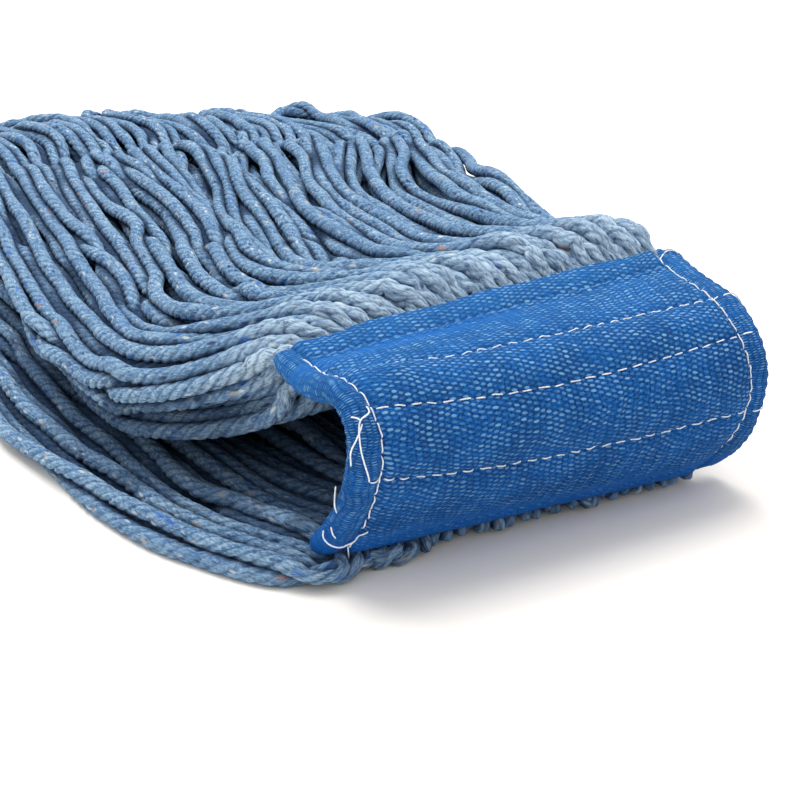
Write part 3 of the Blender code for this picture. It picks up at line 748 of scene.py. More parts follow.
# ---------------------------------------------------------------- materials
class Nodes:
    """A short way to write a node tree."""

    def __init__(self, name):
        self.mat = bpy.data.materials.new(name)
        self.mat.use_nodes = True
        self.tree = self.mat.node_tree
        self.shader = self.tree.nodes["Principled BSDF"]

    def add(self, kind, inputs=None, **settings):
        node = self.tree.nodes.new(kind)
        for key, value in settings.items():
            setattr(node, key, value)
        for key, value in (inputs or {}).items():
            socket = node.inputs[key]
            if isinstance(value, bpy.types.NodeSocket):
                self.tree.links.new(value, socket)
            else:
                socket.default_value = value
        return node

    def math(self, op, *values, clamp=False):
        node = self.tree.nodes.new("ShaderNodeMath")
        node.operation = op
        node.use_clamp = clamp
        for k, value in enumerate(values):
            if isinstance(value, bpy.types.NodeSocket):
                self.tree.links.new(value, node.inputs[k])
            else:
                node.inputs[k].default_value = value
        return node.outputs[0]

    def mix(self, factor, a, b, blend="MIX"):
        node = self.tree.nodes.new("ShaderNodeMix")
        node.data_type = "RGBA"
        node.blend_type = blend
        for socket, value in ((node.inputs[0], factor), (node.inputs[6], a), (node.inputs[7], b)):
            if isinstance(value, bpy.types.NodeSocket):
                self.tree.links.new(value, socket)
            elif isinstance(value, (int, float)):
                socket.default_value = value
            else:
                socket.default_value = (*value, 1.0) if len(value) == 3 else value
        return node.outputs[2]

    def ramp(self, value, low, high):
        """0 below low, 1 above high, smooth between."""
        node = self.add("ShaderNodeMapRange", {0: value, 1: low, 2: high, 3: 0.0, 4: 1.0}, interpolation_type="SMOOTHSTEP")
        return node.outputs[0]

    def attr(self, name):
        return self.add("ShaderNodeAttribute", attribute_name=name)

    def scaled(self, vector, by):
        node = self.add("ShaderNodeVectorMath", {0: vector, 1: by}, operation="MULTIPLY")
        return node.outputs[0]

    def noise(self, vector, scale, detail=2.0, rough=0.5, dims="3D"):
        return self.add(
            "ShaderNodeTexNoise", {"Vector": vector, "Scale": scale, "Detail": detail, "Roughness": rough}, noise_dimensions=dims
        ).outputs[0]

    def set(self, **values):
        for key, value in values.items():
            socket = self.shader.inputs[key.replace("_", " ")]
            if isinstance(value, bpy.types.NodeSocket):
                self.tree.links.new(value, socket)
            else:
                socket.default_value = value if not isinstance(value, tuple) or len(value) != 3 else (*value, 1.0)
        return self.mat


def srgb(r, g, b):
    out = []
    for c in (r, g, b):
        c /= 255.0
        out.append(c / 12.92 if c <= 0.04045 else ((c + 0.055) / 1.055) ** 2.4)
    return tuple(out)


def yarn_material(name):
    n = Nodes(name)
    straight, ply, strand, painted_shade_and_light = n.attr("straight"), n.attr("ply"), n.attr("strand"), n.attr("painted_shade_and_light")
    along = n.scaled(straight.outputs["Vector"], (1.0, 1.0, 0.15))
    parts = n.add("ShaderNodeSeparateXYZ", {0: ply.outputs["Vector"]})
    height = parts.outputs[2]
    # plies differ in tone, strands differ a little, and the tone drifts along each ply
    where = n.add("ShaderNodeSeparateXYZ", {0: straight.outputs["Vector"]})
    of_ply = n.add(
        "ShaderNodeCombineXYZ",
        {
            0: n.math("MULTIPLY", parts.outputs[0], 1.3),
            1: n.math("MULTIPLY", parts.outputs[1], 1.3),
            2: n.math("MULTIPLY", where.outputs[2], 22.0),
        },
    )
    ply_tone = n.noise(of_ply.outputs[0], 1.0, 3.0, 0.65)
    fibres = n.noise(along, 2300.0, 3.0, 0.66)
    clumps = n.noise(n.scaled(straight.outputs["Vector"], (1.0, 1.0, 0.42)), 560.0, 3.0, 0.6)
    tufts = n.noise(n.scaled(straight.outputs["Vector"], (1.0, 1.0, 0.55)), 1050.0, 2.0, 0.55)
    patches = n.noise(straight.outputs["Vector"], 95.0, 2.0, 0.5)
    pale, mid, deep = srgb(154, 185, 208), srgb(94, 133, 170), srgb(24, 60, 106)
    c = n.mix(n.ramp(ply_tone, 0.30, 0.70), mid, pale)
    c = n.mix(n.math("MULTIPLY", n.ramp(patches, 0.40, 0.72), 0.35), c, srgb(84, 124, 176))
    # painted light: below zero the attribute paints the upper strands' exits paler
    c = n.mix(n.math("MULTIPLY", painted_shade_and_light.outputs["Fac"], -0.95, clamp=True), c, srgb(196, 218, 234))
    c = n.mix(n.math("MULTIPLY", n.ramp(clumps, 0.50, 0.70), 0.62), c, deep)
    c = n.mix(n.math("MULTIPLY", n.ramp(fibres, 0.47, 0.68), 0.50), c, deep)
    c = n.mix(n.math("MULTIPLY", n.ramp(fibres, 0.48, 0.26), 0.50), c, srgb(186, 206, 220))
    c = n.mix(n.math("MULTIPLY", n.ramp(tufts, 0.54, 0.68), 0.50), c, srgb(40, 76, 122))
    c = n.mix(n.math("MULTIPLY", n.ramp(tufts, 0.45, 0.31), 0.46), c, srgb(196, 214, 226))
    # painted shade in the valleys between the plies
    c = n.mix(n.math("MULTIPLY", n.ramp(height, 0.75, 0.0), 0.46), c, srgb(26, 52, 88))
    c = n.mix(n.math("MULTIPLY", strand.outputs["Fac"], 0.26), c, srgb(82, 118, 156))
    # flecks of other colours spun into the yarn
    for scale, lot, colour, share, amount in (
        (360.0, 11.3, srgb(220, 224, 222), 0.17, 0.60),
        (270.0, 3.7, srgb(198, 184, 156), 0.07, 0.52),
        (240.0, 7.1, srgb(190, 134, 98), 0.030, 0.55),
        (300.0, 5.9, srgb(20, 40, 84), 0.19, 0.75),
        (230.0, 9.2, srgb(30, 92, 184), 0.11, 0.62),
    ):
        moved = n.add(
            "ShaderNodeVectorMath",
            {0: n.scaled(straight.outputs["Vector"], (1.0, 1.0, 0.40)), 1: (lot, lot * 2, lot * 3)},
            operation="ADD",
        )
        cell = n.add("ShaderNodeTexVoronoi", {"Vector": moved.outputs[0], "Scale": scale}, feature="F1")
        pick = n.add("ShaderNodeSeparateColor", {0: cell.outputs["Color"]})
        near = n.ramp(cell.outputs["Distance"], 0.34, 0.12)
        chosen = n.math("LESS_THAN", pick.outputs[0], share)
        c = n.mix(n.math("MULTIPLY", n.math("MULTIPLY", near, chosen), amount), c, colour)
    # painted shade: where strands lie against each other, and deep in the pile, the yarn's colour is darkened
    c = n.mix(n.math("MULTIPLY", painted_shade_and_light.outputs["Fac"], 0.92, clamp=True), c, srgb(13, 36, 68))
    bump = n.add("ShaderNodeBump", {"Strength": 1.0, "Distance": 0.00050, "Height": fibres})
    bump2 = n.add(
        "ShaderNodeBump", {"Strength": 0.8, "Distance": 0.0010, "Height": clumps, "Normal": bump.outputs[0]}
    )
    bump3 = n.add(
        "ShaderNodeBump", {"Strength": 0.7, "Distance": 0.0007, "Height": tufts, "Normal": bump2.outputs[0]}
    )
    return n.set(
        Base_Color=c,
        Roughness=0.95,
        Normal=bump3.outputs[0],
        Specular_IOR_Level=0.08,
        Sheen_Weight=0.04,
        Sheen_Roughness=0.6,
        Sheen_Tint=srgb(190, 210, 226),
    )


YARN = yarn_material("yarn_blue")

# ---------------------------------------------------------------- the strands
upper_lines, lower_lines = loops_of("upper", UPPER_LOOPS), loops_of("lower", LOWER_LOOPS)
kinds = [0] * len(upper_lines) + [1] * len(lower_lines)
lines, thicks = settle(upper_lines + lower_lines, kinds, 200)

crowd_b, crowd_c, crowd_d = crowding(lines)

bundles = 8
for kind, label in ((0, "upper"), (1, "lower")):
    mine = [i for i, k in enumerate(kinds) if k == kind]
    for b in range(bundles):
        some = mine[b * len(mine) // bundles : (b + 1) * len(mine) // bundles]
        mesh, _ = strand_mesh(
            f"{label}_strands_{b + 1}", [lines[i] for i in some], [thicks[i] for i in some], some,
            crowd=([crowd_b[i] for i in some], [crowd_c[i] for i in some], [crowd_d[i] for i in some]),
            # painted light: the upper strands' exits are painted paler
            pale=0.75 if kind == 0 else 0.0,
            ends=0.014 if kind == 1 else 0.0,
        )
        ob = new_object(f"{label}_strands_{b + 1}", mesh, YARN)
        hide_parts(f"{label}_yarn_{b + 1}")
        if kind == 0:
            a, e = to_world(on_band(0.0, L / 2, 0.0045)), to_world(on_band(0.0, L / 2, 0.0045)) + np.array((0, 0.035, 0.0))
        else:
            a, e = to_world(on_band(W, L / 2, 0.0045)), to_world(on_band(W, L / 2, 0.0045)) + np.array((0, 0.030, 0.0))
        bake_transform(ob)

# ---------------------------------------------------------------- headband: where its seams run
ROLL = 0.0045  # the rolled end, half of the sandwich
NEAR_SEAM_T = np.array((0.0, 5.7, 15.4, 26.0, 38.7, 49.3, 58.1, 79.3, 91.8, 104.0, 109.5, 127.0)) / 1000
NEAR_SEAM_X = np.array((6.6, 7.8, 8.6, 7.6, 7.2, 9.0, 9.9, 10.2, 10.2, 11.2, 9.8, 9.6)) / 1000
FAR_SEAM_T = np.array((0.0, 5.1, 13.1, 26.7, 46.5, 59.5, 70.1, 82.1, 95.1, 108.5, 127.0)) / 1000
FAR_SEAM_X = np.array((162.0, 161.4, 161.0, 162.6, 161.4, 162.4, 163.6, 164.2, 162.4, 159.5, 160.5)) / 1000
ROW_X = (
    np.array((9.0, 24.0, 84.0, 129.0, 163.0)) / 1000,
    np.array((11.0, 17.3, 23.0, 47.1, 86.0, 128.0, 171.2)) / 1000,
    np.array((9.8, 40.0, 80.1, 125.0, 168.0)) / 1000,
    np.array((5.0, 30.0, 73.4, 120.0, 173.2)) / 1000,
    np.array((9.0, 60.0, 120.0, 164.0)) / 1000,
)
ROW_T = (
    np.array((9.6, 10.6, 11.2, 11.0, 10.2)) / 1000,
    np.array((21.5, 25.4, 31.0, 36.2, 36.8, 36.2, 35.5)) / 1000,
    np.array((51.4, 55.2, 57.6, 56.4, 53.4)) / 1000,
    np.array((76.6, 81.6, 85.4, 85.8, 84.2)) / 1000,
    np.array((116.6, 118.2, 117.6, 116.4)) / 1000,
)


def eased(x, xs, ys, width=0.006):
    """Linear interpolation with its corners rounded."""
    return sum(np.interp(x + k * width, xs, ys) for k in (-1, -0.5, 0, 0.5, 1)) / 5


def near_seam(t):
    return eased(t, NEAR_SEAM_T, NEAR_SEAM_X, 0.004)


def far_seam(t):
    return eased(t, FAR_SEAM_T, FAR_SEAM_X, 0.004)


def row_t(k, x):
    return eased(x, ROW_X[k], ROW_T[k], 0.007)


def ripple(x, t, seed, amount, shortest, longest, terms=7, along=(1.0, 1.0)):
    rng = np.random.default_rng(seed)
    out = np.zeros(np.broadcast(x, t).shape)
    for _ in range(terms):
        wave = rng.uniform(shortest, longest)
        way = rng.uniform(0, math.pi)
        out += (
            np.sin(2 * math.pi * (x * along[0] * math.cos(way) + t * along[1] * math.sin(way)) / wave + rng.uniform(0, 6.28))
            * (wave / longest) ** 0.8
        )
    return out * amount / math.sqrt(terms)


def relief(x, t, inner=False):
    """How far the fabric stands proud of the plain sandwich, without its weave."""
    x, t = np.broadcast_arrays(np.asarray(x, float), np.asarray(t, float))
    xs, xf = near_seam(t), far_seam(t)
    end = np.minimum(np.abs(x - xs), np.abs(x - xf))
    inside = smooth01((x - xs + 0.001) / 0.003) * smooth01((xf - x + 0.001) / 0.003)
    dist = np.where((x > xs) & (x < xf), end, 0.0)
    d_row = np.full(x.shape, 1.0)
    for k in range(5):
        d_row = np.minimum(d_row, np.abs(t - row_t(k, x)))
    both = np.minimum(dist, d_row)
    puff = 1.0 - np.exp(-((both / 0.0058) ** 2))
    edge = smooth01(np.minimum(t, W - t) / 0.006)
    out = (0.0008 if inner else 0.0013) * puff * inside * edge
    # yarn lying under the fabric, along t
    phase = x / 0.0061 + 0.9 * np.sin(t / 0.031 + x / 0.027) + 0.7 * np.sin(x / 0.0130 + 2.0)
    swell = 0.55 + 0.45 * np.sin(x / 0.019 + t / 0.043)
    out += 0.00034 * np.sin(2 * math.pi * phase) * swell * puff * inside
    out += ripple(x, t, 31 + inner, 0.00045, 0.020, 0.060) * inside * (0.35 + 0.65 * puff)
    # puckers, drawn in by the stitches
    pucker = np.sin(2 * math.pi * x / 0.0047 + 2.0 * np.sin(x / 0.011)) * np.exp(-((d_row / 0.0032) ** 2)) * inside
    out += 0.00022 * pucker
    pucker = np.sin(2 * math.pi * t / 0.0049 + 2.0 * np.sin(t / 0.012)) * np.exp(-((end / 0.0034) ** 2))
    out += 0.00020 * pucker
    # seams
    out -= (0.0012 if inner else 0.0015) * np.exp(-((end / 0.0014) ** 2))
    for k in range(5):
        groove = np.exp(-(((t - row_t(k, x)) / (0.0012 if k in (0, 4) else 0.0011)) ** 2))
        out -= (0.0009 if k in (0, 4) else 0.00085) * groove * inside
    # the turned hems along the long edges lie doubled
    if not inner:
        top_hem = row_t(0, x) + 0.0013
        low_hem = row_t(4, x) - 0.0013
        double = 1.35 * (1 - smooth01((t - top_hem + 0.0004) / 0.0009))
        double += smooth01((t - low_hem + 0.0004) / 0.0009)
        out += 0.00075 * double * smooth01((x - xs) / 0.004) * smooth01((xf - x) / 0.004)
    return out


COLUMN, COURSE = 0.0050, 0.0019  # the mesh's pattern: columns across, courses along t


def weave(x, t, fine):
    """The mesh's raised dashes, 0 to 1, at the same places as the material's. fine is 1 on the rolled ends."""
    u, v = weave_uv(x, t)
    v = np.where(fine > 0.5, v * 2.0, v)
    out = np.zeros(u.shape)
    for shift, half_u, size in ((0.0, 0.22, 1.0), (0.5, 0.21, 0.9)):
        a = u + shift
        b = v + shift
        fu = a - np.floor(a) - 0.5
        fv = b - 0.28 * fu
        fv = fv - np.floor(fv) - 0.5
        d = (fu / half_u) ** 2 + (fv / 0.33) ** 2
        out = np.maximum(out, size * np.clip(1.0 - d, 0, 1) ** 0.5)
    return out


def weave_uv(x, t):
    u = x / COLUMN + 0.16 * np.sin(t / 0.0052 + 1.7 * np.sin(x / 0.0171)) + 0.10 * np.sin(t / 0.0021 + x / 0.0093)
    v = t / COURSE + 0.22 * np.sin(x / 0.0083 + 1.3 * np.sin(t / 0.0147)) + 0.12 * np.sin(x / 0.0031 + t / 0.0071)
    return u, v


def edge_wave(x, upper):
    """The long edges aren't straight: the yarn pushes them out a little here and there."""
    return ripple(x, x * 0, 41 if upper else 43, 0.0009, 0.012, 0.045, 6)


def build_fabric():
    """The headband's fabric: one sheet wrapped round the yarn, rolled at both ends, with turned long edges."""
    # the section, as a closed run: outer face from near to far, far roll, inner face back, near roll
    a0, a1 = 0.0050, L - 0.0050
    outer_x = np.arange(a0, a1 + 1e-9, 0.00083)
    outer_x = np.linspace(a0, a1, len(outer_x))
    inner_x = np.linspace(a1, a0, 82)
    roll = np.linspace(0, math.pi, 17)[1:-1]
    part = np.concatenate([np.zeros(len(outer_x)), np.ones(len(roll)), np.full(len(inner_x), 2.0), np.full(len(roll), 3.0)])
    px = np.concatenate([outer_x, np.full(len(roll), np.nan), inner_x, np.full(len(roll), np.nan)])
    phi = np.concatenate([np.zeros(len(outer_x)), roll, np.zeros(len(inner_x)), roll[::-1]])
    # rows along t, with the turned-in rims
    n = 4 * 66
    ts = np.linspace(0.0, W, n + 1)
    inset = np.zeros(n + 1)
    head_t, head_in = np.array((0.0080, 0.0045, 0.0018, 0.0005, 0.0)), np.array((0.0017, 0.0016, 0.0015, 0.0012, 0.0006))
    ts = np.concatenate([head_t, ts + 0.0, W - head_t[::-1]])
    inset = np.concatenate([head_in, inset, head_in[::-1]])
    real = np.concatenate([np.zeros(5), np.ones(n + 1), np.zeros(5)])
    inset[5], inset[5 + n] = 0.00025, 0.00025
    T, PX = np.meshgrid(ts, px, indexing="ij")
    PART, PHI = np.broadcast_to(part, T.shape), np.broadcast_to(phi, T.shape)
    INSET = np.broadcast_to(inset[:, None], T.shape)
    REAL = np.broadcast_to(real[:, None], T.shape)
    near, far = PART == 3, PART == 1
    r = ROLL + ripple(PHI * ROLL, T, 51, 0.00022, 0.006, 0.03) + 0.00018 * np.sin(2 * math.pi * T / 0.0046 + 1.5 * np.sin(T / 0.013))
    # plain panels, and round the rolled ends
    X = np.where(near | far, 0.0, PX)
    X = np.where(near, 0.0050 - (r + 0.0005) * np.sin(PHI), X)
    X = np.where(far, L - 0.0050 + (r + 0.0005) * np.sin(PHI), X)
    D = np.where(PART == 0, 0.0, SANDWICH)
    D = np.where(near | far, SANDWICH / 2 - r * np.cos(PHI), D)
    bump_o = relief(np.where(near | far, 0.005, PX), T)
    bump_i = relief(np.where(near | far, 0.005, PX), T, inner=True)
    D = D - np.where(PART == 0, bump_o, 0) + np.where(PART == 2, bump_i, 0)
    # the fabric's own distance round the section, for the weave
    around = np.where(PART == 0, PX, 0.0)
    around = np.where(PART == 2, L + math.pi * ROLL + (a1 - PX), around)
    around = np.where(far, a1 + PHI * ROLL, around)
    around = np.where(near, a0 - PHI * ROLL, around)
    fine = np.where(near | far, 1.0, 0.0)
    fine = np.where((PART == 0) & ((PX < near_seam(T)) | (PX > far_seam(T))), 1.0, fine)
    dash = weave(around, T, fine) * REAL
    knit = np.where((PART == 2), 0.00012, 0.00024) * dash
    D = D - np.where(PART == 0, knit, 0) + np.where(PART == 2, knit, 0) - np.where(near | far, knit * np.cos(PHI), 0)
    X = X - np.where(near, knit * np.sin(PHI), 0) + np.where(far, knit * np.sin(PHI), 0)
    # rims turned inwards
    toward = np.where(PART == 0, 1.0, np.where(PART == 2, -1.0, np.cos(PHI)))
    D = D + INSET * toward
    # the rolled ends close at the long edges, like a folded corner
    away = np.minimum(T, W - T)
    close = np.sqrt(np.clip(1.0 - (1.0 - np.clip(away / 0.0045, 0, 1)) ** 2, 0, 1)) * 0.86 + 0.14
    close = np.where(REAL > 0.5, close, 0.12)
    at_end = np.where(near | far, 1.0, 0.0)
    at_end = np.where(PART == 0, 1 - smooth01((np.minimum(PX, L - PX) - 0.0055) / 0.0040), at_end)
    at_end = np.where(PART == 2, 1 - smooth01((np.minimum(PX, L - PX) - 0.0055) / 0.0040), at_end)
    k = 1 - at_end * (1 - close)
    D = SANDWICH / 2 + (D - SANDWICH / 2) * k
    centre_x = np.where(X < L / 2, 0.0052, L - 0.0052)
    X = centre_x + (X - centre_x) * (1 - at_end * (1 - (0.35 + 0.65 * close)))
    # the long edges wander
    shift = edge_wave(X, True) * np.exp(-T / 0.006) - edge_wave(X, False) * np.exp(-(W - T) / 0.006)
    P = on_band(T, np.clip(X, 0, L), D)
    along = on_band(np.clip(T + 0.0005, 0, W), np.clip(X, 0, L), D) - on_band(np.clip(T - 0.0005, 0, W), np.clip(X, 0, L), D)
    along /= np.linalg.norm(along, axis=2, keepdims=True) + 1e-12
    P = P - along * shift[..., None]
    P[..., 0] = X
    rows, cols = T.shape
    i, j = np.meshgrid(np.arange(rows - 1), np.arange(cols), indexing="ij")
    jn = (j + 1) % cols
    quads = np.stack([i * cols + j, (i + 1) * cols + j, (i + 1) * cols + jn, i * cols + jn], axis=-1).reshape(-1, 4)
    mesh = mesh_from("headband_fabric", P.reshape(-1, 3), quads)
    attribute(mesh, "cloth", np.stack([around, T, fine], axis=-1).reshape(-1, 3))
    attribute(mesh, "raised", dash.ravel(), "FLOAT")
    return mesh


def face_point(x, t, lift=0.0, inner=False):
    """A point on (or lift above) the fabric of a panel."""
    b = relief(x, t, inner)
    if inner:
        return on_band(t, x, SANDWICH + b + lift)
    return on_band(t, x, -b - lift)


def roll_point(phi, t, lift=0.0, far=False):
    r = ROLL + lift + 0.0003
    x = 0.0050 - (r + 0.0005) * np.sin(phi)
    if far:
        x = L - x
    p = on_band(t, np.clip(x, 0, L), SANDWICH / 2 - r * np.cos(phi))
    p[..., 0] = x
    return p


def cloth_material(name, base, dash_colour, pale_colour, deep_colour):
    """Open mesh fabric: raised pale dashes in columns on a deeper ground, with fine yarn in it."""
    n = Nodes(name)
    cloth = n.attr("cloth")
    xyz = n.add("ShaderNodeSeparateXYZ", {0: cloth.outputs["Vector"]})
    x, t, fine = xyz.outputs[0], xyz.outputs[1], xyz.outputs[2]

    def sin_of(value, scale, extra=None):
        inner = n.math("MULTIPLY", value, 1.0 / scale)
        if extra is not None:
            inner = n.math("ADD", inner, extra)
        return n.math("SINE", inner)

    u = n.math("MULTIPLY", x, 1.0 / COLUMN)
    u = n.math("ADD", u, n.math("MULTIPLY", sin_of(t, 0.0052, n.math("MULTIPLY", sin_of(x, 0.0171), 1.7)), 0.16))
    u = n.math("ADD", u, n.math("MULTIPLY", sin_of(t, 0.0021, n.math("MULTIPLY", x, 1 / 0.0093)), 0.10))
    v = n.math("MULTIPLY", t, 1.0 / COURSE)
    v = n.math("ADD", v, n.math("MULTIPLY", sin_of(x, 0.0083, n.math("MULTIPLY", sin_of(t, 0.0147), 1.3)), 0.22))
    v = n.math("ADD", v, n.math("MULTIPLY", sin_of(x, 0.0031, n.math("MULTIPLY", t, 1 / 0.0071)), 0.12))
    v = n.math("MULTIPLY", v, n.math("ADD", n.math("MULTIPLY", n.math("GREATER_THAN", fine, 0.5), 1.0), 1.0))
    threads = n.noise(n.scaled(cloth.outputs["Vector"], (0.45, 1.6, 0.0)), 2600.0, 2.0, 0.6)
    rough_edge = n.math("MULTIPLY", n.math("SUBTRACT", threads, 0.5), 1.6)

    def dashes(shift, half_u, half_v):
        a = n.math("ADD", u, shift)
        b = n.math("ADD", v, shift)
        fu = n.math("SUBTRACT", n.math("FRACT", a), 0.5)
        fv = n.math("SUBTRACT", b, n.math("MULTIPLY", fu, 0.28))
        row = n.math("FLOOR", fv)
        fv = n.math("SUBTRACT", n.math("FRACT", fv), 0.5)
        du = n.math("POWER", n.math("ABSOLUTE", n.math("MULTIPLY", fu, 1 / half_u)), 2.0)
        dv = n.math("POWER", n.math("ABSOLUTE", n.math("MULTIPLY", fv, 1 / half_v)), 2.0)
        d = n.math("ADD", n.math("ADD", du, dv), rough_edge)
        cell = n.add("ShaderNodeCombineXYZ", {0: n.math("FLOOR", a), 1: row, 2: shift})
        lot = n.add("ShaderNodeTexWhiteNoise", {"Vector": cell.outputs[0]}, noise_dimensions="3D").outputs["Value"]
        return n.ramp(d, 1.15, 0.45), lot

    main, lot = dashes(0.0, 0.240, 0.29)
    minor, lot2 = dashes(0.5, 0.215, 0.27)
    broad = n.noise(n.scaled(cloth.outputs["Vector"], (1.0, 1.0, 0.0)), 55.0, 3.0, 0.55)
    grit = n.noise(n.scaled(cloth.outputs["Vector"], (0.7, 1.0, 0.0)), 1400.0, 3.0, 0.6)
    # along the turned hems and on the rolled ends the mesh is drawn tight, and plainer
    edge_low = n.ramp(t, 0.104, 0.113)
    crease_a, crease_b = n.ramp(t, 0.0105, 0.0125), n.ramp(t, 0.022, 0.014)
    tight = n.math("MULTIPLY", n.math("MULTIPLY", crease_a, crease_b), n.ramp(x, 0.13, 0.05))
    tight = n.math("MAXIMUM", tight, edge_low)
    tight = n.math("MAXIMUM", tight, n.math("MULTIPLY", fine, 0.12))
    c = n.mix(n.ramp(grit, 0.36, 0.60), deep_colour, base)
    c = n.mix(n.math("MULTIPLY", n.ramp(broad, 0.38, 0.66), 0.45), c, deep_colour)
    c = n.mix(n.math("MULTIPLY", tight, 0.62), c, srgb(12, 90, 174))
    # single threads of the mesh, and painted light: the upper leg is painted lighter
    c = n.mix(n.math("MULTIPLY", n.ramp(threads, 0.46, 0.66), 0.24), c, srgb(52, 122, 194))
    c = n.mix(n.math("MULTIPLY", n.ramp(t, 0.070, 0.010), 0.16), c, srgb(70, 142, 204))
    dash = n.math("MAXIMUM", n.math("MULTIPLY", main, n.math("ADD", n.math("MULTIPLY", lot, 0.44), 0.40)),
                  n.math("MULTIPLY", minor, n.math("ADD", n.math("MULTIPLY", lot2, 0.40), 0.22)))
    dash = n.math("MULTIPLY", dash, n.math("SUBTRACT", 1.0, n.math("MULTIPLY", tight, 0.62)))
    # painted shade: the pale dashes fade towards the lower edge, so the lower part is darker
    dash = n.math("MULTIPLY", dash, n.math("SUBTRACT", 1.0, n.math("MULTIPLY", n.ramp(t, 0.045, 0.105), 0.46)))
    either = n.math("MAXIMUM", lot, lot2)
    c = n.mix(dash, c, n.mix(n.ramp(either, 0.35, 1.0), dash_colour, pale_colour))
    height = n.math("ADD", n.math("MULTIPLY", n.math("MAXIMUM", main, minor), 0.7), n.math("MULTIPLY", threads, 0.5))
    bump = n.add("ShaderNodeBump", {"Strength": 0.9, "Distance": 0.00040, "Height": height})
    return n.set(
        Base_Color=c,
        Roughness=0.85,
        Normal=bump.outputs[0],
        Specular_IOR_Level=0.12,
    )


MESH_BLUE = cloth_material("mesh_blue", srgb(8, 85, 160), srgb(58, 130, 194), srgb(122, 174, 212), srgb(0, 34, 86))

thread = Nodes("thread_white")
ply_band = thread.noise(thread.scaled(thread.attr("straight").outputs["Vector"], (1.0, 1.0, 0.55)), 2800.0, 2.0, 0.5)
thread_bump = thread.add("ShaderNodeBump", {"Strength": 0.5, "Distance": 0.00012, "Height": ply_band})
THREAD = thread.set(
    Base_Color=thread.mix(thread.ramp(ply_band, 0.35, 0.65), srgb(206, 214, 226), srgb(244, 247, 250)),
    Roughness=0.55,
    Normal=thread_bump.outputs[0],
    Specular_IOR_Level=0.3,
)
blue_thread = Nodes("thread_blue")
blue_band = blue_thread.noise(
    blue_thread.scaled(blue_thread.attr("straight").outputs["Vector"], (1.0, 1.0, 0.55)), 2800.0, 2.0, 0.5
)
THREAD_BLUE = blue_thread.set(
    Base_Color=blue_thread.mix(blue_thread.ramp(blue_band, 0.35, 0.65), srgb(60, 108, 170), srgb(112, 156, 206)),
    Roughness=0.7,
    Specular_IOR_Level=0.2,
)


# ---------------------------------------------------------------- stitches
def thin_tubes(name, runs, radius, sides=6):
    """Many short threads as one mesh. runs are (n,3) arrays in band coordinates; each end tapers."""
    verts, quads, caps, straight = [], [], [], []
    base = 0
    a = np.arange(sides) * 2 * math.pi / sides
    for number, P in enumerate(runs):
        P = np.asarray(P, float)
        T, N, B = (q[0] for q in frames_along(P[None]))
        n = len(P)
        d = np.concatenate([[0.0], np.cumsum(np.linalg.norm(np.diff(P, axis=0), axis=1))])
        taper = np.ones(n)
        taper[0] = taper[-1] = 0.55
        ring = P[:, None] + radius * taper[:, None, None] * (np.cos(a)[None, :, None] * N[:, None] + np.sin(a)[None, :, None] * B[:, None])
        verts.append(ring.reshape(-1, 3))
        i, j = np.meshgrid(np.arange(n - 1), np.arange(sides), indexing="ij")
        k = (j + 1) % sides
        quads.append(np.stack([i * sides + j, i * sides + k, (i + 1) * sides + k, (i + 1) * sides + j], axis=-1).reshape(-1, 4) + base)
        caps.append(np.arange(sides)[::-1] + base)
        caps.append(np.arange(sides) + (n - 1) * sides + base)
        st = np.stack(
            [
                np.broadcast_to(radius * np.cos(a), (n, sides)) + number * 0.13,
                np.broadcast_to(radius * np.sin(a), (n, sides)) + number * 0.07,
                np.broadcast_to(d[:, None], (n, sides)),
            ],
            axis=-1,
        )
        straight.append(st.reshape(-1, 3))
        base += n * sides
    mesh = mesh_from(name, np.vstack(verts), np.vstack(quads), [np.vstack(caps)])
    attribute(mesh, "straight", np.vstack(straight))
    return mesh


def stitches_along(xs, ts, seed, pitch=0.0040, proud=0.00030, inner=False, cover=0.72, sink=0.00050):
    """Lockstitches along a line of (x, t) points on a panel's face."""
    rng = np.random.default_rng(seed)
    d = np.concatenate([[0.0], np.cumsum(np.hypot(np.diff(xs), np.diff(ts)))])
    runs = []
    s = 0.0005
    while s < d[-1] - pitch * 0.6:
        step = pitch * rng.uniform(0.90, 1.12)
        long = step * (cover + rng.uniform(-0.10, 0.08))
        q = np.linspace(s, s + long, 9)
        x, t = np.interp(q, d, xs), np.interp(q, d, ts)
        side = rng.uniform(-0.00018, 0.00018)
        tilt = rng.uniform(-0.00030, 0.00030)
        w = np.linspace(-1, 1, 9)
        dx, dt = np.gradient(x), np.gradient(t)
        m = np.hypot(dx, dt)
        x, t = x - dt / m * (side + tilt * w), t + dx / m * (side + tilt * w)
        up = proud * rng.uniform(0.7, 1.3) * (1 - w**4) - sink * w**8
        runs.append(face_point(x, t, up, inner))
        s += step
    return runs

FOLD_LINE = (tuple(to_world(on_band(FOLD_AT + 0.012, L / 2, 0.0045))), tuple(to_world(on_band(FOLD_AT - 0.012, L / 2, 0.0045))))


def across_fold(ob):
    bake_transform(ob)
    return ob


fabric = new_object("headband_fabric", build_fabric(), MESH_BLUE)
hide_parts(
    "outer_band_lower", "outer_band_upper", "inner_band_lower", "inner_band_upper",
    "near_end_hem_lower", "near_end_hem_upper", "far_end_hem_lower", "far_end_hem_upper",
    "lower_edge_hem", "upper_edge_hem",
)
across_fold(fabric)


# ---------------------------------------------------------------- yarn sewn inside the headband
def core_lines():
    rng = np.random.default_rng(977)
    out = []
    for k in range(46):
        x0 = 0.0078 + (L - 0.0156) * (k + 0.5) / 46
        depth = 0.0039 if k % 2 else 0.0052
        t = np.linspace(0.0030, W - 0.0030, 60)
        x = x0 + 0.0008 * np.sin(t / 0.017 + rng.uniform(0, 6)) + 0.0005 * np.sin(t / 0.007 + rng.uniform(0, 6))
        out.append(on_band(t, x, depth + 0.0005 * np.sin(t / 0.013 + rng.uniform(0, 6))))
    return out


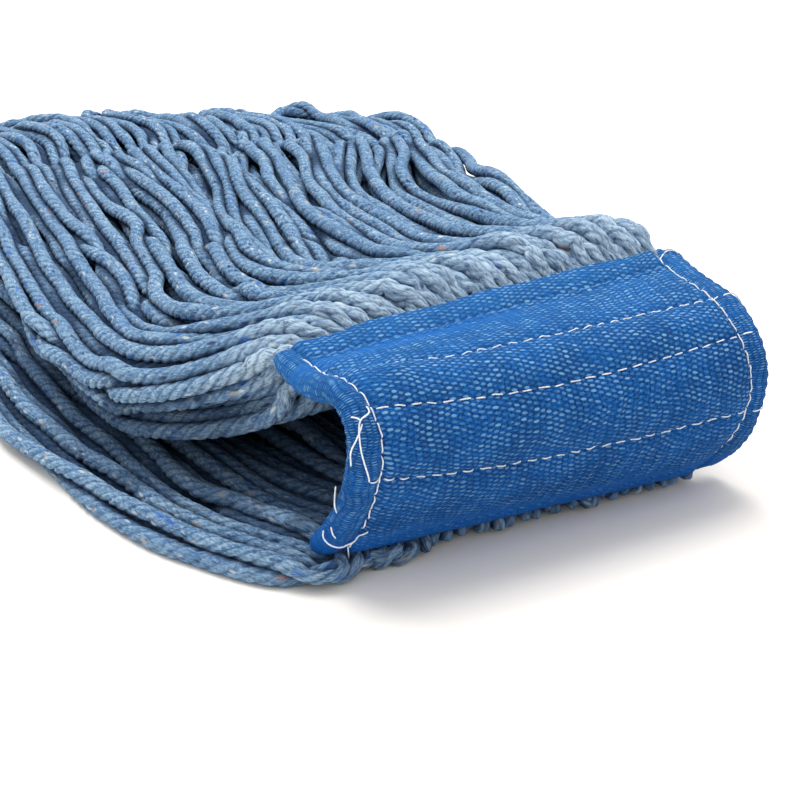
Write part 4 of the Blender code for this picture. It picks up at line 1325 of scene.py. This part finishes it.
core = core_lines()
mesh, _ = strand_mesh("headband_core", core, [np.full(60, 0.57)] * len(core), [900 + k for k in range(len(core))], sides=8, factor=1.0)
core_ob = new_object("headband_core", mesh, YARN)
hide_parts("core_yarn_lower", "core_yarn_upper")
across_fold(core_ob)

# ---------------------------------------------------------------- rows of stitching
rows_of = (
    ("stitch_row_1", 0, 0.0095, L - 0.0110),
    ("stitch_row_2", 1, 0.0160, L - 0.0022),
    ("stitch_row_3", 2, 0.0100, L - 0.0048),
    ("stitch_row_4", 3, 0.0052, L - 0.0012),
    ("stitch_row_5", 4, 0.0110, L - 0.0115),
)
for name, k, x0, x1 in rows_of:
    xs = np.linspace(x0, x1, 160)
    ts = row_t(k, xs)
    runs = stitches_along(
        xs, ts, 300 + k, pitch=(0.0050, 0.0063, 0.0062, 0.0064, 0.0060)[k],
        proud=0.00005 if k in (0, 4) else 0.00036, sink=0.0004 if k in (0, 4) else 0.0006,
    )
    xi = np.linspace(max(x0, 0.012), min(x1, L - 0.012), 150)
    runs += stitches_along(xi, row_t(k, xi), 330 + k, pitch=0.0062, inner=True, proud=0.00030)
    ob = new_object(name + "_thread", thin_tubes(name + "_thread", runs, 0.00025 if k in (0, 4) else 0.00027), THREAD_BLUE if k in (0, 4) else THREAD)
    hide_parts(name)
    across_fold(ob)

for label, seam, ends in (("near_end", near_seam, (0.0065, 0.1085)), ("far_end", far_seam, (0.0048, 0.1085))):
    ts = np.linspace(*ends, 180)
    xs = seam(ts)
    if label == "far_end":
        # the far row turns back on itself near the upper edge
        extra_t = np.array((0.0056, 0.0036, 0.0030, 0.0034, 0.0046))
        extra_x = np.array((0.1698, 0.1684, 0.1662, 0.1640, 0.1622))
        ts = np.concatenate([extra_t, ts])
        xs = np.concatenate([extra_x, xs])
    runs = stitches_along(xs, ts, 360 + len(label), pitch=0.0062, proud=0.00055, cover=0.995, sink=0.00025)
    ti = np.linspace(0.006, 0.1185, 150)
    runs += stitches_along(seam(ti), ti, 380 + len(label), pitch=0.0062, inner=True, proud=0.0004)
    ob = new_object(label + "_thread", thin_tubes(label + "_thread", runs, 0.00028), THREAD)
    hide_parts(label + "_stitch_lower", label + "_stitch_upper")
    across_fold(ob)


# ---------------------------------------------------------------- loose threads
def eased_line(points, count=40):
    P = np.asarray(points, float)
    line, _ = curve_through(P, count / (len(P) - 1))
    return line


def lay_thread(points, height=0.00050, count=44, ends=(True, True)):
    """A thread lying over the outer face along (x, t, lift) points. ends is not used. x < 0 goes round the near roll.
    """
    P = eased_line([(x, t, h) for x, t, h in points], count)
    out = []
    for x, t, h in P:
        if x >= 0.0048:
            out.append(face_point(np.array(x), np.array(t), h + height))
        else:
            phi = (0.0050 - x) / 0.0052
            out.append(roll_point(np.array(min(phi, 2.6)), np.array(t), h + height * 0.7))
    return np.array(out)


upper_threads = [
    lay_thread([(0.0073, 0.0505, -0.0006), (0.0068, 0.0530, 0.0006), (0.0032, 0.0550, 0.0008), (0.0019, 0.0615, 0.0006), (0.0026, 0.0680, 0.0009), (0.0052, 0.0766, 0.0)]),
    lay_thread([(0.0036, 0.0560, 0.0), (0.0014, 0.0600, 0.0007), (-0.0012, 0.0652, 0.0005), (-0.0012, 0.0705, 0.0004)]),
    lay_thread([(0.0010, 0.0530, 0.0002), (0.0022, 0.0536, 0.0004), (0.0036, 0.0550, 0.0008)], count=16),
]
ob = new_object("loose_thread_near", thin_tubes("loose_thread_near", upper_threads, 0.00027), THREAD)
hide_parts("loose_thread_upper")
across_fold(ob)

lower_threads = [
    lay_thread([(-0.0034, 0.1085, 0.0), (-0.0012, 0.1098, 0.0010), (0.0030, 0.1104, 0.0014), (0.0072, 0.1096, 0.0010), (0.0105, 0.1080, 0.0008), (0.0128, 0.1058, -0.0002)]),
    lay_thread([(-0.0014, 0.1016, 0.0008), (0.0000, 0.1040, 0.0010), (0.0014, 0.1062, 0.0006)], count=16),
    lay_thread([(0.0076, 0.1092, 0.0010), (0.0086, 0.1140, 0.0012), (0.0104, 0.1200, 0.0016), (0.0126, 0.1262, 0.0018)]),
]
mesh = thin_tubes("loose_thread_low", lower_threads, 0.00027)
ob = new_object("loose_thread_low", mesh, THREAD)
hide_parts("loose_thread_lower")
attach(ob, "headband_lower")

p0 = roll_point(np.array(1.5), np.array(0.0955), 0.0000)
stub = [p0 + np.array(d) for d in ((0.0006, 0.0, -0.0006), (-0.0002, 0.0002, 0.0024), (0.0000, 0.0004, 0.0058), (0.0004, 0.0004, 0.0094))]
q0 = face_point(np.array(0.0072), np.array(0.1098), 0.0006)
corner = [eased_line(stub, 20)]
ob = new_object("loose_thread_stub", thin_tubes("loose_thread_stub", corner, 0.00028), THREAD)
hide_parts("loose_thread_corner")
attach(ob, "headband_lower")

# the far end's loose thread, round the rolled end
far_line = []
for phi, t in ((0.35, 0.0352), (0.8, 0.0368), (1.3, 0.0392), (1.8, 0.0405), (2.3, 0.0398)):
    far_line.append(roll_point(np.array(phi), np.array(t), 0.0006, far=True))
ob = new_object("loose_thread_far", thin_tubes("loose_thread_far", [eased_line(far_line, 28)], 0.00028), THREAD)
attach(ob, "headband_upper")

# ---------------------------------------------------------------- tail bands
# each is a row of thread that wraps the locks where it pinches them, and sinks into the yarn between
surface = {0: [], 1: []}
for line, kind in zip(lines, kinds):
    d = line[:, 1] - skewed(line[:, 0], TAIL_BAND_Y)
    hit = np.flatnonzero(d[:-1] * d[1:] <= 0)
    for i in hit:
        f = d[i] / (d[i] - d[i + 1] + 1e-12)
        surface[kind].append(line[i] * (1 - f) + line[i + 1] * f)
for kind, label, body, groups in ((0, "upper", "upper_yarn", 4), (1, "lower", "lower_yarn", 5)):
    S = np.array(surface[kind])
    xs = np.linspace(S[:, 0].min() - 0.002, S[:, 0].max() + 0.002, 220)
    share = np.linspace(0, 1, len(xs))
    runs = []
    for top, off in ((True, 0.0), (True, 0.0016), (False, 0.0)):
        height = np.full(len(xs), np.nan)
        for j, x in enumerate(xs):
            near = np.clip(1 - ((S[:, 0] - x) / (R * 1.25)) ** 2, 0, None)
            ok = near > 0
            if ok.any():
                z = S[ok, 2] + (1 if top else -1) * R * np.sqrt(near[ok])
                height[j] = z.max() if top else z.min()
        good = ~np.isnan(height)
        height = np.interp(xs, xs[good], height[good])
        smooth = height.copy()
        for _ in range(5):
            smooth[1:-1] = (smooth[:-2] + 2 * smooth[1:-1] + smooth[2:]) / 4
        wraps = smooth01((np.cos(math.pi * groups * share) ** 2 - 0.72) / 0.16)
        if top:
            height = smooth + 0.0002 - 0.0075 * (1 - wraps)
        else:
            height = np.maximum(smooth, 0.0004)
        y = skewed(xs, TAIL_BAND_Y) + off + 0.0007 * np.sin(xs / 0.011) + 0.0004 * np.sin(xs / 0.004 + 1.0)
        runs.append(np.column_stack([xs, y, height]))
    mesh = thin_tubes(f"{label}_tail_thread", runs, 0.00034)
    ob = new_object(f"{label}_tail_thread", mesh, THREAD)
    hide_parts(f"{label}_tail_band")
    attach(ob, body)

# ---------------------------------------------------------------- floor and light
floor_mat = Nodes("floor")
floor_mat.set(Base_Color=(0.975, 0.932, 0.872), Roughness=0.9, Specular_IOR_Level=0.1)
bpy.ops.mesh.primitive_plane_add(size=14.0, location=(0.0, 0.0, 0.0))
floor = bpy.context.object
floor.name = "floor"
floor.data.materials.append(floor_mat.mat)

world = bpy.data.worlds.new("world")
bpy.context.scene.world = world
world.use_nodes = True
world.node_tree.nodes["Background"].inputs[0].default_value = (1.0, 1.0, 1.0, 1.0)
world.node_tree.nodes["Background"].inputs[1].default_value = 0.85
bpy.context.scene.view_settings.view_transform = "Standard"


def area_light(name, at, towards, size, power):
    data = bpy.data.lights.new(name, "AREA")
    data.shape = "SQUARE"
    data.size = size
    data.energy = power
    ob = bpy.data.objects.new(name, data)
    ob.location = at
    ob.rotation_euler = (Vector(at) - Vector(towards)).to_track_quat("Z", "Y").to_euler()
    bpy.context.scene.collection.objects.link(ob)
    return ob


area_light("key", (-0.08, 0.38, 1.70), (0.0, 0.0, 0.0), 1.55, 36.0)
area_light("fill", (-1.0, -0.9, 1.3), (0.0, 0.0, 0.0), 1.2, 1.5)
